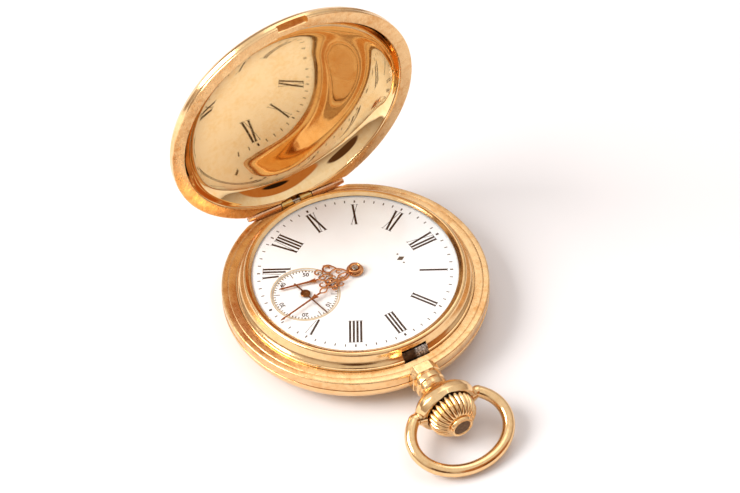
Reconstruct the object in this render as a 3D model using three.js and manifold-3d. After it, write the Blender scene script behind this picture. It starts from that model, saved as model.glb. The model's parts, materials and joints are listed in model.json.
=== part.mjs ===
// Hunter-case pocket watch: the case with its sprung front lid, back and inner covers, the bow,
// the crown with its keyless works, the dial and hands, and the whole movement behind them.
// Millimetres, +Z up. The dial faces +Z, the crown points along +X and 12 o'clock along +Y.
// The origin is the centre of the small flat face on the back cover that the watch rests on.
// The lid stands open, as the watch lies on a table to be read.
import * as THREE from 'three';
import { mergeVertices } from 'three/addons/utils/BufferGeometryUtils.js';
import Module from 'manifold-3d';

const wasm = await Module();
wasm.setup();

const RAD = Math.PI / 180;
const FULL_TURN = 2 * Math.PI;

// ---------------------------------------------------------------- driving dimensions

const CASE_R = 26;            // outer radius of the case band
const FLANGE_Z = 7.67;        // top of the band, where the lid closes
const LIP_Z = 5.46;           // parting line between the band and the back cover
const BEZEL_R = 23.1;         // foot of the bezel
const DIAL_R = 20.4;
const DIAL_Z = 10;            // top of the enamel
const DIAL_TURN = 1.2 * RAD;  // the dial sits turned by this much in its case
const STEM_Z = 5.75;          // axis of the crown and the winding stem
const LID_OPEN = 86 * RAD;
const LID_AXIS_X = -24.4;
const LID_AXIS_Z = 7.95;
const BOW_DROOP = 19.5 * RAD;
const BOW_PIVOT_X = 34.3;
const BOW_HALF_WIDTH = 9.66;
const BOW_HALF_LENGTH = 7.5;
const BOW_WIRE_R = 1.05;
const BOW_END_Y = 7.35;       // where each end of the wire stands beside its ear
const BOW_PIVOT_R = 0.44;
const EAR_Y = 6.1;            // outer face of an ear on the cup
const PIVOT_DEPTH_Y = 5.4;    // how far in the bow's pivots reach
const FIT = 0.03;             // gap between two pieces that rest on each other
const RUN = 0.05;             // running clearance of a shaft in its hole

const RING_SEGMENTS = 30;
const SHAFT_SEGMENTS = 12;
const PIN_SEGMENTS = 8;

// arbors of the movement
const CENTRE = [0, 0];
const SECONDS_R = 11;
const FOURTH = [SECONDS_R * Math.sin(DIAL_TURN), -SECONDS_R * Math.cos(DIAL_TURN)];
const THIRD = [3.705, -6.174];
const ESCAPE = [-4.6, -7.6];
const BALANCE = [-12, -2.4];
const BARREL = [9.6 * Math.cos(55 * RAD), 9.6 * Math.sin(55 * RAD)];
const CROWN_WHEEL = [13.5, 0];
const MINUTE_WORK = [4.8 * Math.cos(30 * RAD), 4.8 * Math.sin(30 * RAD)];
const COCK_FOOT = [-13, 9];

// tooth counts
const TEETH = {
  barrel: 72, centrePinion: 12, centre: 64, thirdPinion: 8, third: 60, fourthPinion: 8,
  fourth: 70, escapePinion: 7, escape: 15, cannon: 12, minute: 36, minutePinion: 10, hour: 40,
  ratchet: 54, crownWheel: 30, windingPinion: 14, slidingPinion: 12,
};

// levels of the movement, from the dial side down to the back
const PLATE_TOP = 8.6;
const PLATE_BOTTOM = 7.6;
const BRIDGE_TOP = 4.9;
const BRIDGE_BOTTOM = 3.95;
const MOVEMENT_R = 20.8;

// three feet hold the dial on the plate
const DIAL_FEET = [70, 190, 310].map((angle) => angle * RAD);
const DIAL_FOOT_R = 0.45;
const DIAL_FEET_AT = 18.6;

// hands: clock angle on the dial in degrees, and length
const HOUR_HAND = { clock: 192.8, length: 15.3, z: 10.36 };
const MINUTE_HAND = { clock: 168.1, length: 19, z: 10.78 };
const SECONDS_HAND = { clock: 79.7, length: 6.45, tail: 3.35, z: 10.14 };

// ---------------------------------------------------------------- finishes

const FINISH = {
  gold: { color: 0xe2b66a, roughness: 0.28, metalness: 1 },
  polishedGold: { color: 0xeabf72, roughness: 0.08, metalness: 1 },
  roseGold: { color: 0xc98a5c, roughness: 0.3, metalness: 1 },
  steel: { color: 0x9c9a97, roughness: 0.35, metalness: 1 },
  wornSteel: { color: 0x5d5048, roughness: 0.6, metalness: 0.8 },
  blueSteel: { color: 0x2c3c6b, roughness: 0.25, metalness: 1 },
  brass: { color: 0xd0a452, roughness: 0.3, metalness: 1 },
  nickel: { color: 0xc9c3b4, roughness: 0.35, metalness: 1 },
  enamel: { color: 0xf8f6f0, roughness: 0.12, metalness: 0 },
  hand: { color: 0xb4622f, roughness: 0.3, metalness: 1 },
  crystal: { color: 0xf4f8fa, roughness: 0.02, metalness: 0, transparent: true, opacity: 0.2 },
};

// ---------------------------------------------------------------- solid modelling helpers

// Closed three.js geometry to a solid, with its faces turned outwards.
function solid(geometry) {
  geometry.deleteAttribute('normal');
  geometry.deleteAttribute('uv');
  const merged = mergeVertices(geometry, 1e-4);
  const at = merged.attributes.position.array;
  const triangles = [];
  let volume = 0;
  for (let i = 0; i < merged.index.count; i += 3) {
    const [a, b, c] = [0, 1, 2].map((k) => merged.index.array[i + k]);
    if (a === b || b === c || c === a) continue;
    triangles.push([a, b, c]);
    const [p, q, r] = [a, b, c].map((k) => new THREE.Vector3().fromArray(at, 3 * k));
    volume += p.dot(q.cross(r));
  }
  if (volume < 0) triangles.forEach((t) => t.reverse());
  return new wasm.Manifold(new wasm.Mesh({
    numProp: 3,
    vertProperties: new Float32Array(at),
    triVerts: new Uint32Array(triangles.flat()),
  }));
}

function toGeometry(body) {
  const mesh = body.getMesh();
  const geometry = new THREE.BufferGeometry();
  geometry.setAttribute('position', new THREE.BufferAttribute(mesh.vertProperties, 3));
  geometry.setIndex(new THREE.BufferAttribute(mesh.triVerts, 1));
  geometry.computeVertexNormals();
  return geometry;
}

const joined = (first, ...rest) => rest.reduce((sum, part) => sum.add(part), first);
const without = (first, ...rest) => rest.reduce((left, part) => left.subtract(part), first);

// Profile of [radius, height] points turned about Z, or about X when axis is 'x', or Y when 'y'.
function turned(profile, segments = RING_SEGMENTS, axis = 'z') {
  const points = profile.map(([r, h]) => new THREE.Vector2(r, h));
  if (points[0].x > 0) points.push(points[0].clone());
  const geometry = new THREE.LatheGeometry(points, segments);
  if (axis === 'z') geometry.rotateX(Math.PI / 2);
  if (axis === 'x') geometry.rotateZ(-Math.PI / 2);
  return solid(geometry);
}

// Cylinder of radius r between two heights on its axis, with the axis through (x, y).
function rod(r, low, high, [x, y] = [0, 0], segments = SHAFT_SEGMENTS) {
  const geometry = new THREE.CylinderGeometry(r, r, high - low, segments);
  geometry.rotateX(Math.PI / 2);
  geometry.translate(x, y, (low + high) / 2);
  return solid(geometry);
}

// Cylinder along X between two x values, on the axis of the stem unless told otherwise.
function rodX(r, low, high, z = STEM_Z, segments = SHAFT_SEGMENTS) {
  const geometry = new THREE.CylinderGeometry(r, r, high - low, segments);
  geometry.rotateZ(-Math.PI / 2);
  geometry.translate((low + high) / 2, 0, z);
  return solid(geometry);
}

// Cylinder along Y between two y values at (x, z).
function rodY(r, low, high, x, z, segments = PIN_SEGMENTS) {
  const geometry = new THREE.CylinderGeometry(r, r, high - low, segments);
  geometry.translate(x, (low + high) / 2, z);
  return solid(geometry);
}

function block([x0, x1], [y0, y1], [z0, z1]) {
  const geometry = new THREE.BoxGeometry(x1 - x0, y1 - y0, z1 - z0);
  geometry.translate((x0 + x1) / 2, (y0 + y1) / 2, (z0 + z1) / 2);
  return solid(geometry);
}

function plate(shape, low, high, curveSegments = 12) {
  const geometry = new THREE.ExtrudeGeometry(shape, {
    depth: high - low, bevelEnabled: false, curveSegments,
  });
  geometry.translate(0, 0, low);
  return solid(geometry);
}

function polygon(points) {
  return new THREE.Shape(points.map(([x, y]) => new THREE.Vector2(x, y)));
}

const polar = (r, angle, [x, y] = [0, 0]) => [x + r * Math.cos(angle), y + r * Math.sin(angle)];

// Piece of a flat ring between two radii and two angles.
function sector(inner, outer, from, to, steps = 10) {
  const angles = Array.from({ length: steps + 1 }, (_, i) => from + ((to - from) * i) / steps);
  return polygon([
    ...angles.map((a) => polar(outer, a)),
    ...angles.reverse().map((a) => polar(inner, a)),
  ]);
}

// Strip of constant width round two end points, with round ends.
function bar([x0, y0], [x1, y1], r0, r1 = r0, steps = 6) {
  const along = Math.atan2(y1 - y0, x1 - x0);
  const cap = (r, start, centre) => Array.from({ length: steps + 1 },
    (_, i) => polar(r, start + (Math.PI * i) / steps, centre));
  return polygon([
    ...cap(r1, along - Math.PI / 2, [x1, y1]),
    ...cap(r0, along + Math.PI / 2, [x0, y0]),
  ]);
}

// Toothed outline. A tooth is centred on the phase angle.
function toothed(teeth, pitchR, phase = 0, addendum = 0.8, dedendum = 1.15) {
  const module = (2 * pitchR) / teeth;
  const tip = pitchR + addendum * module;
  const root = pitchR - dedendum * module;
  const step = FULL_TURN / teeth;
  const outline = [];
  for (let i = 0; i < teeth; i += 1) {
    const middle = phase + i * step;
    outline.push(polar(root, middle - step / 2));
    outline.push(polar(tip, middle));
  }
  return polygon(outline);
}

// Cuts the crossings out of a wheel's outline and leaves the spokes, the rim and the hub.
function crossedOut(shape, rimR, hubR, spokes = 5, spokeWidth = 0.55) {
  const step = FULL_TURN / spokes;
  for (let i = 0; i < spokes; i += 1) {
    const from = i * step;
    const outerGap = spokeWidth / rimR / 2;
    const innerGap = spokeWidth / hubR / 2;
    const points = [];
    for (let k = 0; k <= 3; k += 1) {
      points.push(polar(rimR, from + outerGap + ((step - 2 * outerGap) * k) / 3));
    }
    for (let k = 1; k >= 0; k -= 1) {
      points.push(polar(hubR, from + innerGap + (step - 2 * innerGap) * k));
    }
    shape.holes.push(new THREE.Path(points.map(([x, y]) => new THREE.Vector2(x, y))));
  }
  return shape;
}

// Flat spiral ribbon between two radii.
function spiral(innerR, outerR, turns, thickness, stepsPerTurn = 18, start = 0) {
  const steps = Math.round(turns * stepsPerTurn);
  const edge = (side) => Array.from({ length: steps + 1 }, (_, i) => {
    const share = i / steps;
    const r = innerR + (outerR - innerR) * share + (side * thickness) / 2;
    return polar(r, start + turns * FULL_TURN * share);
  });
  return polygon([...edge(1), ...edge(-1).reverse()]);
}

// Direction from one arbor to another.
const heading = ([x0, y0], [x1, y1]) => Math.atan2(y1 - y0, x1 - x0);

// Phase that puts a gap of a pinion where the tooth of the wheel that faces it stands.
const gapPhase = (from, to, teeth) => heading(from, to) + Math.PI / teeth;

// ---------------------------------------------------------------- scene graph helpers

function group(parent, [x, y, z] = [0, 0, 0]) {
  const made = new THREE.Group();
  made.position.set(x, y, z);
  parent.add(made);
  return made;
}

function piece(parent, name, body, finish, [x, y, z] = [0, 0, 0], turn = 0) {
  const mesh = new THREE.Mesh(toGeometry(body), new THREE.MeshStandardMaterial(FINISH[finish]));
  mesh.name = name;
  mesh.position.set(x, y, z);
  mesh.rotation.z = turn;
  parent.add(mesh);
}

const watch = new THREE.Group();
watch.name = 'pocket_watch';

// ---------------------------------------------------------------- case band

const HINGE_HALF = 11.6;      // half the length of the seat for the lid's hinge
const HINGE_SEAT_X = -23.35;
const HINGE_SEAT_Z = 7.12;
const CATCH_HALF = 3.05;
const CATCH_GAP = 0.2;
const STEM_HOLE_R = 1.75;
const BACK_AXIS_X = -25.95;
const BACK_AXIS_Z = 5.44;
const BACK_KNUCKLE_R = 0.55;
const BACK_HINGE_HALF = 5;

function caseBand() {
  const ring = turned([
    [22.9, 3.6], [24.4, 3.6], [24.4, LIP_Z + 0.04], [CASE_R, LIP_Z + 0.04], [CASE_R, 7.5],
    [CASE_R - 0.2, FLANGE_Z], [BEZEL_R + FIT, FLANGE_Z], [BEZEL_R + FIT, 6.8], [21.7, 6.8],
    [21.7, 6.6], [22.9, 6.6],
  ]);
  const hingeSeat = block([-27, HINGE_SEAT_X], [-HINGE_HALF, HINGE_HALF], [HINGE_SEAT_Z, 9]);
  const springSlot = block([-24.1, -21], [-0.8, 0.8], [6.25, 9]);
  const catchSlot = block([21, 23.65], [-CATCH_HALF - CATCH_GAP, CATCH_HALF + CATCH_GAP], [6.4, 9]);
  const stemHole = rodX(STEM_HOLE_R, 20, 27);
  const backKnuckleSeat = rodY(BACK_KNUCKLE_R + RUN, -BACK_HINGE_HALF - RUN, BACK_HINGE_HALF + RUN,
    BACK_AXIS_X, BACK_AXIS_Z, SHAFT_SEGMENTS);
  return without(ring, hingeSeat, springSlot, catchSlot, stemHole, backKnuckleSeat);
}

piece(watch, 'case_band', caseBand(), 'gold');

// ---------------------------------------------------------------- pendant neck with its cup

const CUP_RIM_X = 34.9;
const CUP_BORE_R = 4.95;
const NECK_BORE_R = 1.75;
const NECK_ROOT_X = 25;
const NECK_BLOCK_X = 27.2;    // outer end of the faceted block at the root of the neck
const NECK_FACET_Y = 2.45;

function pendantNeck() {
  const outside = turned([
    [0, NECK_ROOT_X], [2.75, NECK_ROOT_X], [2.75, NECK_BLOCK_X], [2.45, 27.45], [2.72, 27.7],
    [2.72, 28.9], [2.4, 29.2], [2.65, 29.6], [2.6, 30.6], [4.3, 32], [5.4, 33.2],
    [5.55, CUP_RIM_X], [0, CUP_RIM_X],
  ], 16, 'x').translate([0, 0, STEM_Z]);
  const ears = rodY(1.2, -EAR_Y, EAR_Y, BOW_PIVOT_X, STEM_Z, SHAFT_SEGMENTS);
  const cup = turned([
    [0, 32.6], [3.4, 32.6], [CUP_BORE_R, 33.3], [CUP_BORE_R, 37], [0, 37],
  ], 16, 'x').translate([0, 0, STEM_Z]);
  const bore = rodX(NECK_BORE_R, 23, 34);
  const pivotHoles = rodY(BOW_PIVOT_R + 0.06, -7, 7, BOW_PIVOT_X, STEM_Z);
  const caseSeat = rod(CASE_R + 0.1, 0, FLANGE_Z + FIT, CENTRE, 60);
  const facet = block([23, NECK_BLOCK_X], [NECK_FACET_Y, 4], [5, 9]);
  const facets = joined(facet, facet.mirror([0, 1, 0]));
  return without(joined(outside, ears), cup, bore, pivotHoles, caseSeat, facets);
}

piece(watch, 'pendant_neck', pendantNeck(), 'gold');

// ---------------------------------------------------------------- bow

class BowLine extends THREE.Curve {
  constructor() {
    super();
    this.half = Math.PI - Math.asin(BOW_END_Y / BOW_HALF_WIDTH);
    this.centre = BOW_HALF_LENGTH * Math.sqrt(1 - (BOW_END_Y / BOW_HALF_WIDTH) ** 2);
  }

  getPoint(t, target = new THREE.Vector3()) {
    const angle = this.half * (2 * t - 1);
    return target.set(
      this.centre + BOW_HALF_LENGTH * Math.cos(angle), BOW_HALF_WIDTH * Math.sin(angle), 0,
    );
  }
}

function bow() {
  const section = new THREE.Shape().absarc(0, 0, BOW_WIRE_R, 0, FULL_TURN);
  const wire = solid(new THREE.ExtrudeGeometry(section, {
    steps: 28, curveSegments: 4, bevelEnabled: false, extrudePath: new BowLine(),
  }));
  const ends = [-1, 1].map((side) => {
    const knob = new THREE.SphereGeometry(BOW_WIRE_R, 8, 6);
    knob.translate(0, side * BOW_END_Y, 0);
    return solid(knob);
  });
  const pivot = rodY(BOW_PIVOT_R, PIVOT_DEPTH_Y, BOW_END_Y, 0, 0);
  const pivots = [pivot, pivot.mirror([0, 1, 0])];
  return joined(wire, ...ends, ...pivots);
}

const bowGroup = group(watch, [BOW_PIVOT_X, 0, STEM_Z]);
bowGroup.rotation.y = BOW_DROOP;
piece(bowGroup, 'bow', bow(), 'gold');

// ---------------------------------------------------------------- crown, sleeve and stem

const CROWN_RIBS = 22;
const CROWN_RIB_DEPTH = 0.05; // share of the radius
const CROWN_PLAIN_R = 2.4;    // the ribs end at this radius
const STEM_R = 0.88;
const SLEEVE_R = 1.65;
const SLEEVE_BORE_R = 0.98;

// Onion crown: a turned shell whose radius swells and shrinks round it, once for each rib.
function crownShell() {
  const profile = [
    [0, 33.75], [3.9, 33.75], [4.62, 35.1], [4.78, 36.4], [4.5, 37.8], [3.6, 38.9],
    [2.35, 39.45], [0, 39.45],
  ];
  const points = profile.map(([r, h]) => new THREE.Vector2(r, h));
  const geometry = new THREE.LatheGeometry(points, CROWN_RIBS * 2);
  const at = geometry.attributes.position;
  for (let i = 0; i < at.count; i += 1) {
    const r = Math.hypot(at.getX(i), at.getZ(i));
    const rib = Math.cos(CROWN_RIBS * Math.atan2(at.getX(i), at.getZ(i)));
    const depth = r > CROWN_PLAIN_R ? CROWN_RIB_DEPTH : 0;
    const scale = 1 - depth * (1 - rib) / 2;
    at.setXYZ(i, at.getX(i) * scale, at.getY(i), at.getZ(i) * scale);
  }
  geometry.rotateZ(-Math.PI / 2);
  geometry.translate(0, 0, STEM_Z);
  return without(solid(geometry), rodX(STEM_R + 0.07, 33, 38.6));
}

function crownCap() {
  return turned([
    [0, 39.48], [2.3, 39.48], [2.3, 39.95], [2, 40.22], [0, 40.22],
  ], 18, 'x').translate([0, 0, STEM_Z]);
}

function pendantSleeve() {
  return turned([
    [SLEEVE_BORE_R, 24.6], [SLEEVE_R, 24.6], [SLEEVE_R, 31.9], [SLEEVE_BORE_R, 31.9],
  ], 12, 'x').translate([0, 0, STEM_Z]);
}

function windingStem() {
  return turned([
    [0, 11.3], [0.45, 11.4], [0.45, 12.6], [0.82, 12.7], [0.82, 19.2], [0.55, 19.25], [0.55, 19.9],
    [STEM_R, 19.95], [STEM_R, 38.5], [0, 38.5],
  ], 10, 'x').translate([0, 0, STEM_Z]);
}

piece(watch, 'crown_shell', crownShell(), 'gold');
piece(watch, 'crown_cap', crownCap(), 'wornSteel');
piece(watch, 'pendant_sleeve', pendantSleeve(), 'steel');
piece(watch, 'winding_stem', windingStem(), 'steel');

// ---------------------------------------------------------------- front lid and its hinge

const LID_RIM_Z = FLANGE_Z + 0.05;
const KNUCKLE_R = 0.8;
const HINGE_PIN_R = 0.3;

// The lid is drawn closed, and its group swings it open about the hinge pin.
const lidGroup = group(watch, [LID_AXIS_X, 0, LID_AXIS_Z]);
lidGroup.rotation.y = -LID_OPEN;
const lidFrame = group(lidGroup, [-LID_AXIS_X, 0, -LID_AXIS_Z]);

function frontLid() {
  const shell = turned([
    [0, 13], [12, 12.75], [20.4, 11.55], [22.4, 10.4], [23.3, 8.8], [23.5, LID_RIM_Z],
    [CASE_R, LID_RIM_Z], [CASE_R, 8.6], [25.4, 10.1], [21.6, 12.25], [12, 13.3], [0, 13.5],
  ]);
  const hingeCut = block([-30, HINGE_SEAT_X + 0.1], [-HINGE_HALF, HINGE_HALF], [7, 8.8]);
  const backTrim = block([-30, -25.25], [-HINGE_HALF, HINGE_HALF], [7, 12]);
  const pendantCut = block([NECK_ROOT_X - 0.2, 30], [-3.1, 3.1], [7, 8.75]);
  const catchPocket = block([21, 23.6], [-CATCH_HALF - CATCH_GAP, CATCH_HALF + CATCH_GAP], [7, 9.6]);
  return without(shell, hingeCut, backTrim, pendantCut, catchPocket);
}

function hingeTube(low, high, taper = 0) {
  const tip = taper ? [[HINGE_PIN_R + RUN, high], [0.5, high], [KNUCKLE_R, high - taper]]
    : [[HINGE_PIN_R + RUN, high], [KNUCKLE_R, high]];
  return turned([...tip, [KNUCKLE_R, low], [HINGE_PIN_R + RUN, low]], 14, 'y');
}

piece(lidFrame, 'front_lid', frontLid(), 'polishedGold');
for (const [side, name] of [[-1, 'left'], [1, 'right']]) {
  const knuckle = hingeTube(0.85, 3.35);
  piece(lidFrame, `lid_knuckle_${name}`, side < 0 ? knuckle.mirror([0, 1, 0]) : knuckle, 'gold',
    [LID_AXIS_X, 0, LID_AXIS_Z]);
  const tube = hingeTube(3.45, 10.8, 2.4);
  piece(watch, `band_hinge_tube_${name}`, side < 0 ? tube.mirror([0, 1, 0]) : tube, 'roseGold',
    [LID_AXIS_X, 0, LID_AXIS_Z]);
}
piece(watch, 'lid_hinge_pin', rodY(HINGE_PIN_R, -10.7, 10.7, LID_AXIS_X, LID_AXIS_Z), 'steel');

// Spring strip inside the band. Its tongue stands between the knuckles and throws the lid open.
function liftSpring() {
  const strip = plate(sector(21.85, 22.35, 128 * RAD, 232 * RAD, 14), 4.4, 6.35);
  const root = block([-23.9, -21.9], [-0.6, 0.6], [6.28, 6.7]);
  const tongue = block([-23.9, -23.35], [-0.6, 0.6], [6.28, 8.3]);
  return joined(strip, root, tongue);
}

piece(watch, 'lift_spring', liftSpring(), 'steel');

// Spring strip on the crown side. Its nose holds the closed lid until the crown is pressed.
function catchSpring() {
  const strip = plate(sector(21.85, 22.35, -38 * RAD, 38 * RAD, 12), 4.3, 6.3);
  const post = block([21.9, 22.3], [-CATCH_HALF, CATCH_HALF], [5.9, 7.6]);
  const nose = block([21.75, 23.2], [-CATCH_HALF, CATCH_HALF], [7.4, 9.25]);
  return without(joined(strip, post, nose), rodX(1.2, 21, 24));
}

piece(watch, 'catch_spring', catchSpring(), 'wornSteel');

// ---------------------------------------------------------------- bezel and crystal

const THUMB_LUG_DEG = -47;    // where a thumbnail lifts the bezel

function bezel() {
  const ring = turned([
    [22.2, 6.85], [BEZEL_R, 6.85], [BEZEL_R, 7.85], [22.6, 8.15], [21.7, 10.2], [21, 10.75],
    [20, 10.35], [20, 10.25], [20.5, 10.25], [20.5, 8.75], [22.2, 7.4],
  ]);
  const catchNotch = block([21, 24], [-CATCH_HALF - CATCH_GAP, CATCH_HALF + CATCH_GAP], [6, 9.6]);
  const thumbLug = block([22.3, 23.2], [-0.8, 0.8], [FLANGE_Z + 0.04, 8.15])
    .rotate([0, 0, THUMB_LUG_DEG]);
  return without(ring, catchNotch).add(thumbLug);
}

function crystal() {
  return turned([
    [0, 11.85], [14, 11.5], [19.4, 11], [19.55, 10.06], [20.42, 10.06], [20.42, 10.22],
    [19.93, 10.22], [19.75, 11.3], [14, 11.85], [0, 12.2],
  ]);
}

piece(watch, 'bezel', bezel(), 'gold');
piece(watch, 'crystal', crystal(), 'crystal');

// ---------------------------------------------------------------- back cover and inner cover

const BACK_FLAT_R = 11;
const INNER_AXIS_X = -23.75;
const INNER_AXIS_Z = 3.28;
const INNER_KNUCKLE_R = 0.28;

function backCover() {
  const shell = turned([
    [0, 0], [BACK_FLAT_R, 0], [17.5, 0.5], [22, 1.45], [24.4, 2.4], [25.6, 3.5],
    [CASE_R + 0.04, 4.7], [CASE_R + 0.04, LIP_Z - 0.02], [25.4, LIP_Z - 0.02], [25.3, 4.6],
    [24.2, 2.95], [21.6, 1.98], [16, 0.9], [0, 0.5],
  ]);
  const seat = rodY(BACK_KNUCKLE_R + RUN, -BACK_HINGE_HALF - RUN, BACK_HINGE_HALF + RUN,
    BACK_AXIS_X, BACK_AXIS_Z, SHAFT_SEGMENTS);
  const pendantCut = rodX(NECK_BORE_R + 0.2, 24, 27);
  return without(shell, seat, pendantCut);
}

// Tube of a small hinge along Y, between two y values about its own pin.
function smallTube(r, pinR, low, high) {
  return turned([[pinR, low], [r, low], [r, high], [pinR, high]], 12, 'y');
}

piece(watch, 'back_cover', backCover(), 'gold');
piece(watch, 'back_cover_knuckle', smallTube(BACK_KNUCKLE_R, 0.27, -1.6, 1.6), 'gold',
  [BACK_AXIS_X, 0, BACK_AXIS_Z]);
piece(watch, 'back_hinge_pin', rodY(0.22, -BACK_HINGE_HALF, BACK_HINGE_HALF, 0, 0), 'steel',
  [BACK_AXIS_X, 0, BACK_AXIS_Z]);

function innerCover() {
  const shell = turned([
    [0, 1.38], [12, 1.42], [18.5, 1.95], [22.2, 2.9], [23.9, 3.15], [23.9, 3.5], [22.2, 3.4],
    [17, 2.08], [0, 1.73],
  ]);
  const hingeCut = block([-25, INNER_AXIS_X + 0.4], [-3.2, 3.2], [2.5, 4]);
  return without(shell, hingeCut);
}

piece(watch, 'inner_cover', innerCover(), 'polishedGold');
piece(watch, 'inner_cover_pin', rodY(INNER_KNUCKLE_R, -3, 3, 0, 0), 'steel',
  [INNER_AXIS_X, 0, INNER_AXIS_Z]);

// ---------------------------------------------------------------- dial and hands

const SECONDS_DIAL_R = 6.45;
const SECONDS_DIAL_Z = DIAL_Z - 0.16;
const HOUR_PIPE_R = 0.97;
const CANNON_R = 0.62;

function dial() {
  const disc = rod(DIAL_R, DIAL_Z - 0.5, DIAL_Z, CENTRE, RING_SEGMENTS);
  const feet = DIAL_FEET.map((a) => rod(DIAL_FOOT_R, 8, DIAL_Z - 0.4, polar(DIAL_FEET_AT, a), 8));
  const centreHole = rod(1.15, 9, 11, CENTRE, SHAFT_SEGMENTS);
  const secondsHole = rod(SECONDS_DIAL_R, 9, 11, FOURTH, 24);
  return without(joined(disc, ...feet), centreHole, secondsHole);
}

function secondsDial() {
  return turned([
    [0.3, 9.2], [7, 9.2], [7, 9.46], [SECONDS_DIAL_R - 0.07, 9.46],
    [SECONDS_DIAL_R - 0.07, SECONDS_DIAL_Z], [0.3, SECONDS_DIAL_Z],
  ], 24);
}

piece(watch, 'dial', dial(), 'enamel');
piece(watch, 'seconds_dial', secondsDial(), 'enamel', [...FOURTH, 0]);

const clockTurn = (clock) => (90 - clock) * RAD + DIAL_TURN;

// Pierced hand along +X: a hub ring, a scrolled lobe with its opening, and a thin pointed blade.
function piercedHand(length, hubR, boreR, lobeFrom, lobeTo, lobeHalf, bladeHalf) {
  const middle = (lobeFrom + lobeTo) / 2;
  const outline = polygon([
    [0, -0.5], [lobeFrom, -0.3], [middle - 0.6, -lobeHalf], [middle + 0.6, -lobeHalf],
    [lobeTo, -0.4], [lobeTo + 0.6, -bladeHalf], [length - 0.4, -bladeHalf * 0.6], [length, 0],
    [length - 0.4, bladeHalf * 0.6], [lobeTo + 0.6, bladeHalf], [lobeTo, 0.4],
    [middle + 0.6, lobeHalf], [middle - 0.6, lobeHalf], [lobeFrom, 0.3], [0, 0.5],
  ]);
  outline.holes.push(new THREE.Path([
    [lobeFrom + 0.6, 0], [middle, lobeHalf * 0.62], [lobeTo - 0.5, 0], [middle, -lobeHalf * 0.62],
  ].map(([x, y]) => new THREE.Vector2(x, y))));
  const blade = plate(outline, 0, 0.14);
  const hub = rod(hubR, 0, 0.38, CENTRE, 24);
  return without(joined(blade, hub), rod(boreR, -1, 1, CENTRE, 16));
}

piece(watch, 'hour_hand', piercedHand(HOUR_HAND.length, 1.65, HOUR_PIPE_R + RUN, 3, 9, 1.7, 0.2), 'hand',
  [0, 0, HOUR_HAND.z], clockTurn(HOUR_HAND.clock));
piece(watch, 'minute_hand', piercedHand(MINUTE_HAND.length, 1.38, CANNON_R + 0.04, 2.6, 9, 1, 0.17), 'hand',
  [0, 0, MINUTE_HAND.z], clockTurn(MINUTE_HAND.clock));

function secondsHand() {
  const blade = plate(polygon([
    [-SECONDS_HAND.tail, -0.12], [0, -0.14], [SECONDS_HAND.length, -0.06],
    [SECONDS_HAND.length, 0.06], [0, 0.14], [-SECONDS_HAND.tail, 0.12],
  ]), 0, 0.12);
  const hub = rod(0.78, 0, 0.2, CENTRE, 20);
  return without(joined(blade, hub), rod(0.2, -1, 0.1, CENTRE, 8));
}

piece(watch, 'seconds_hand', secondsHand(), 'hand', [...FOURTH, SECONDS_HAND.z],
  clockTurn(SECONDS_HAND.clock));

// ---------------------------------------------------------------- motion work under the dial

const toMinute = heading(CENTRE, MINUTE_WORK);
const fromMinute = heading(MINUTE_WORK, CENTRE);

function cannonPinion() {
  const leaves = plate(toothed(TEETH.cannon, 1.2, toMinute), 8.66, 9);
  const tube = rod(CANNON_R, 8.66, 11.3, CENTRE, 16);
  return without(joined(leaves, tube), rod(0.42, 8, 12, CENTRE, 12));
}

function hourWheel() {
  const wheel = plate(toothed(TEETH.hour, 3.84, toMinute), 9.06, 9.26);
  const pipe = rod(HOUR_PIPE_R, 9.06, 10.78, CENTRE, 16);
  return without(joined(wheel, pipe), rod(CANNON_R + 0.06, 8, 12, CENTRE, 16));
}

function minuteWheel() {
  const wheel = plate(toothed(TEETH.minute, 3.6, fromMinute + Math.PI / TEETH.minute), 8.72, 8.9);
  const pinion = plate(toothed(TEETH.minutePinion, 0.96, fromMinute + Math.PI / TEETH.minutePinion),
    8.86, 9.34);
  const post = rod(0.25, 7.9, 9, CENTRE, 8);
  return joined(wheel, pinion, post);
}

piece(watch, 'cannon_pinion', cannonPinion(), 'steel');
piece(watch, 'hour_wheel', hourWheel(), 'brass');
piece(watch, 'minute_wheel', minuteWheel(), 'brass', [...MINUTE_WORK, 0]);

// ---------------------------------------------------------------- plate, bridges and cocks

const PIVOT_HOLE_R = 0.3;
const pivotHoles = (...places) => places.map((at) => rod(PIVOT_HOLE_R, 2, 9.5, at, PIN_SEGMENTS));
const stemChannel = block([10.8, 22], [-2.15, 2.15], [3.5, 7.85]);

function mainPlate() {
  const body = turned([
    [0, PLATE_BOTTOM], [21, PLATE_BOTTOM], [21, 8.3], [20.3, 8.35], [20.3, PLATE_TOP],
    [0, PLATE_TOP],
  ]);
  const feet = DIAL_FEET.map((a) => rod(DIAL_FOOT_R + 0.1, 7, 9, polar(DIAL_FEET_AT, a), 8));
  const centreHole = rod(0.62, 7, 9, CENTRE, 12);
  const barrelPivot = rod(0.75, 7, 9, BARREL, 12);
  const minutePost = rod(0.32, 7, 9, MINUTE_WORK, 8);
  return without(body, ...feet, centreHole, barrelPivot, minutePost, stemChannel,
    ...pivotHoles(FOURTH, THIRD, ESCAPE, BALANCE));
}

const BALANCE_CLEAR_R = 7.7;
const BALANCE_R = 7;
const bridgeDisc = rod(MOVEMENT_R, BRIDGE_BOTTOM, BRIDGE_TOP, CENTRE, RING_SEGMENTS);
const balanceWell = rod(BALANCE_CLEAR_R, 2, 7, BALANCE, 24);
const slab = (points) => plate(polygon(points), BRIDGE_BOTTOM - 1, BRIDGE_TOP + 1);
const foot = (inner, from, to) => plate(
  sector(inner, MOVEMENT_R, from * RAD, to * RAD, 14), BRIDGE_TOP - 0.2, PLATE_BOTTOM - FIT);

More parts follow.
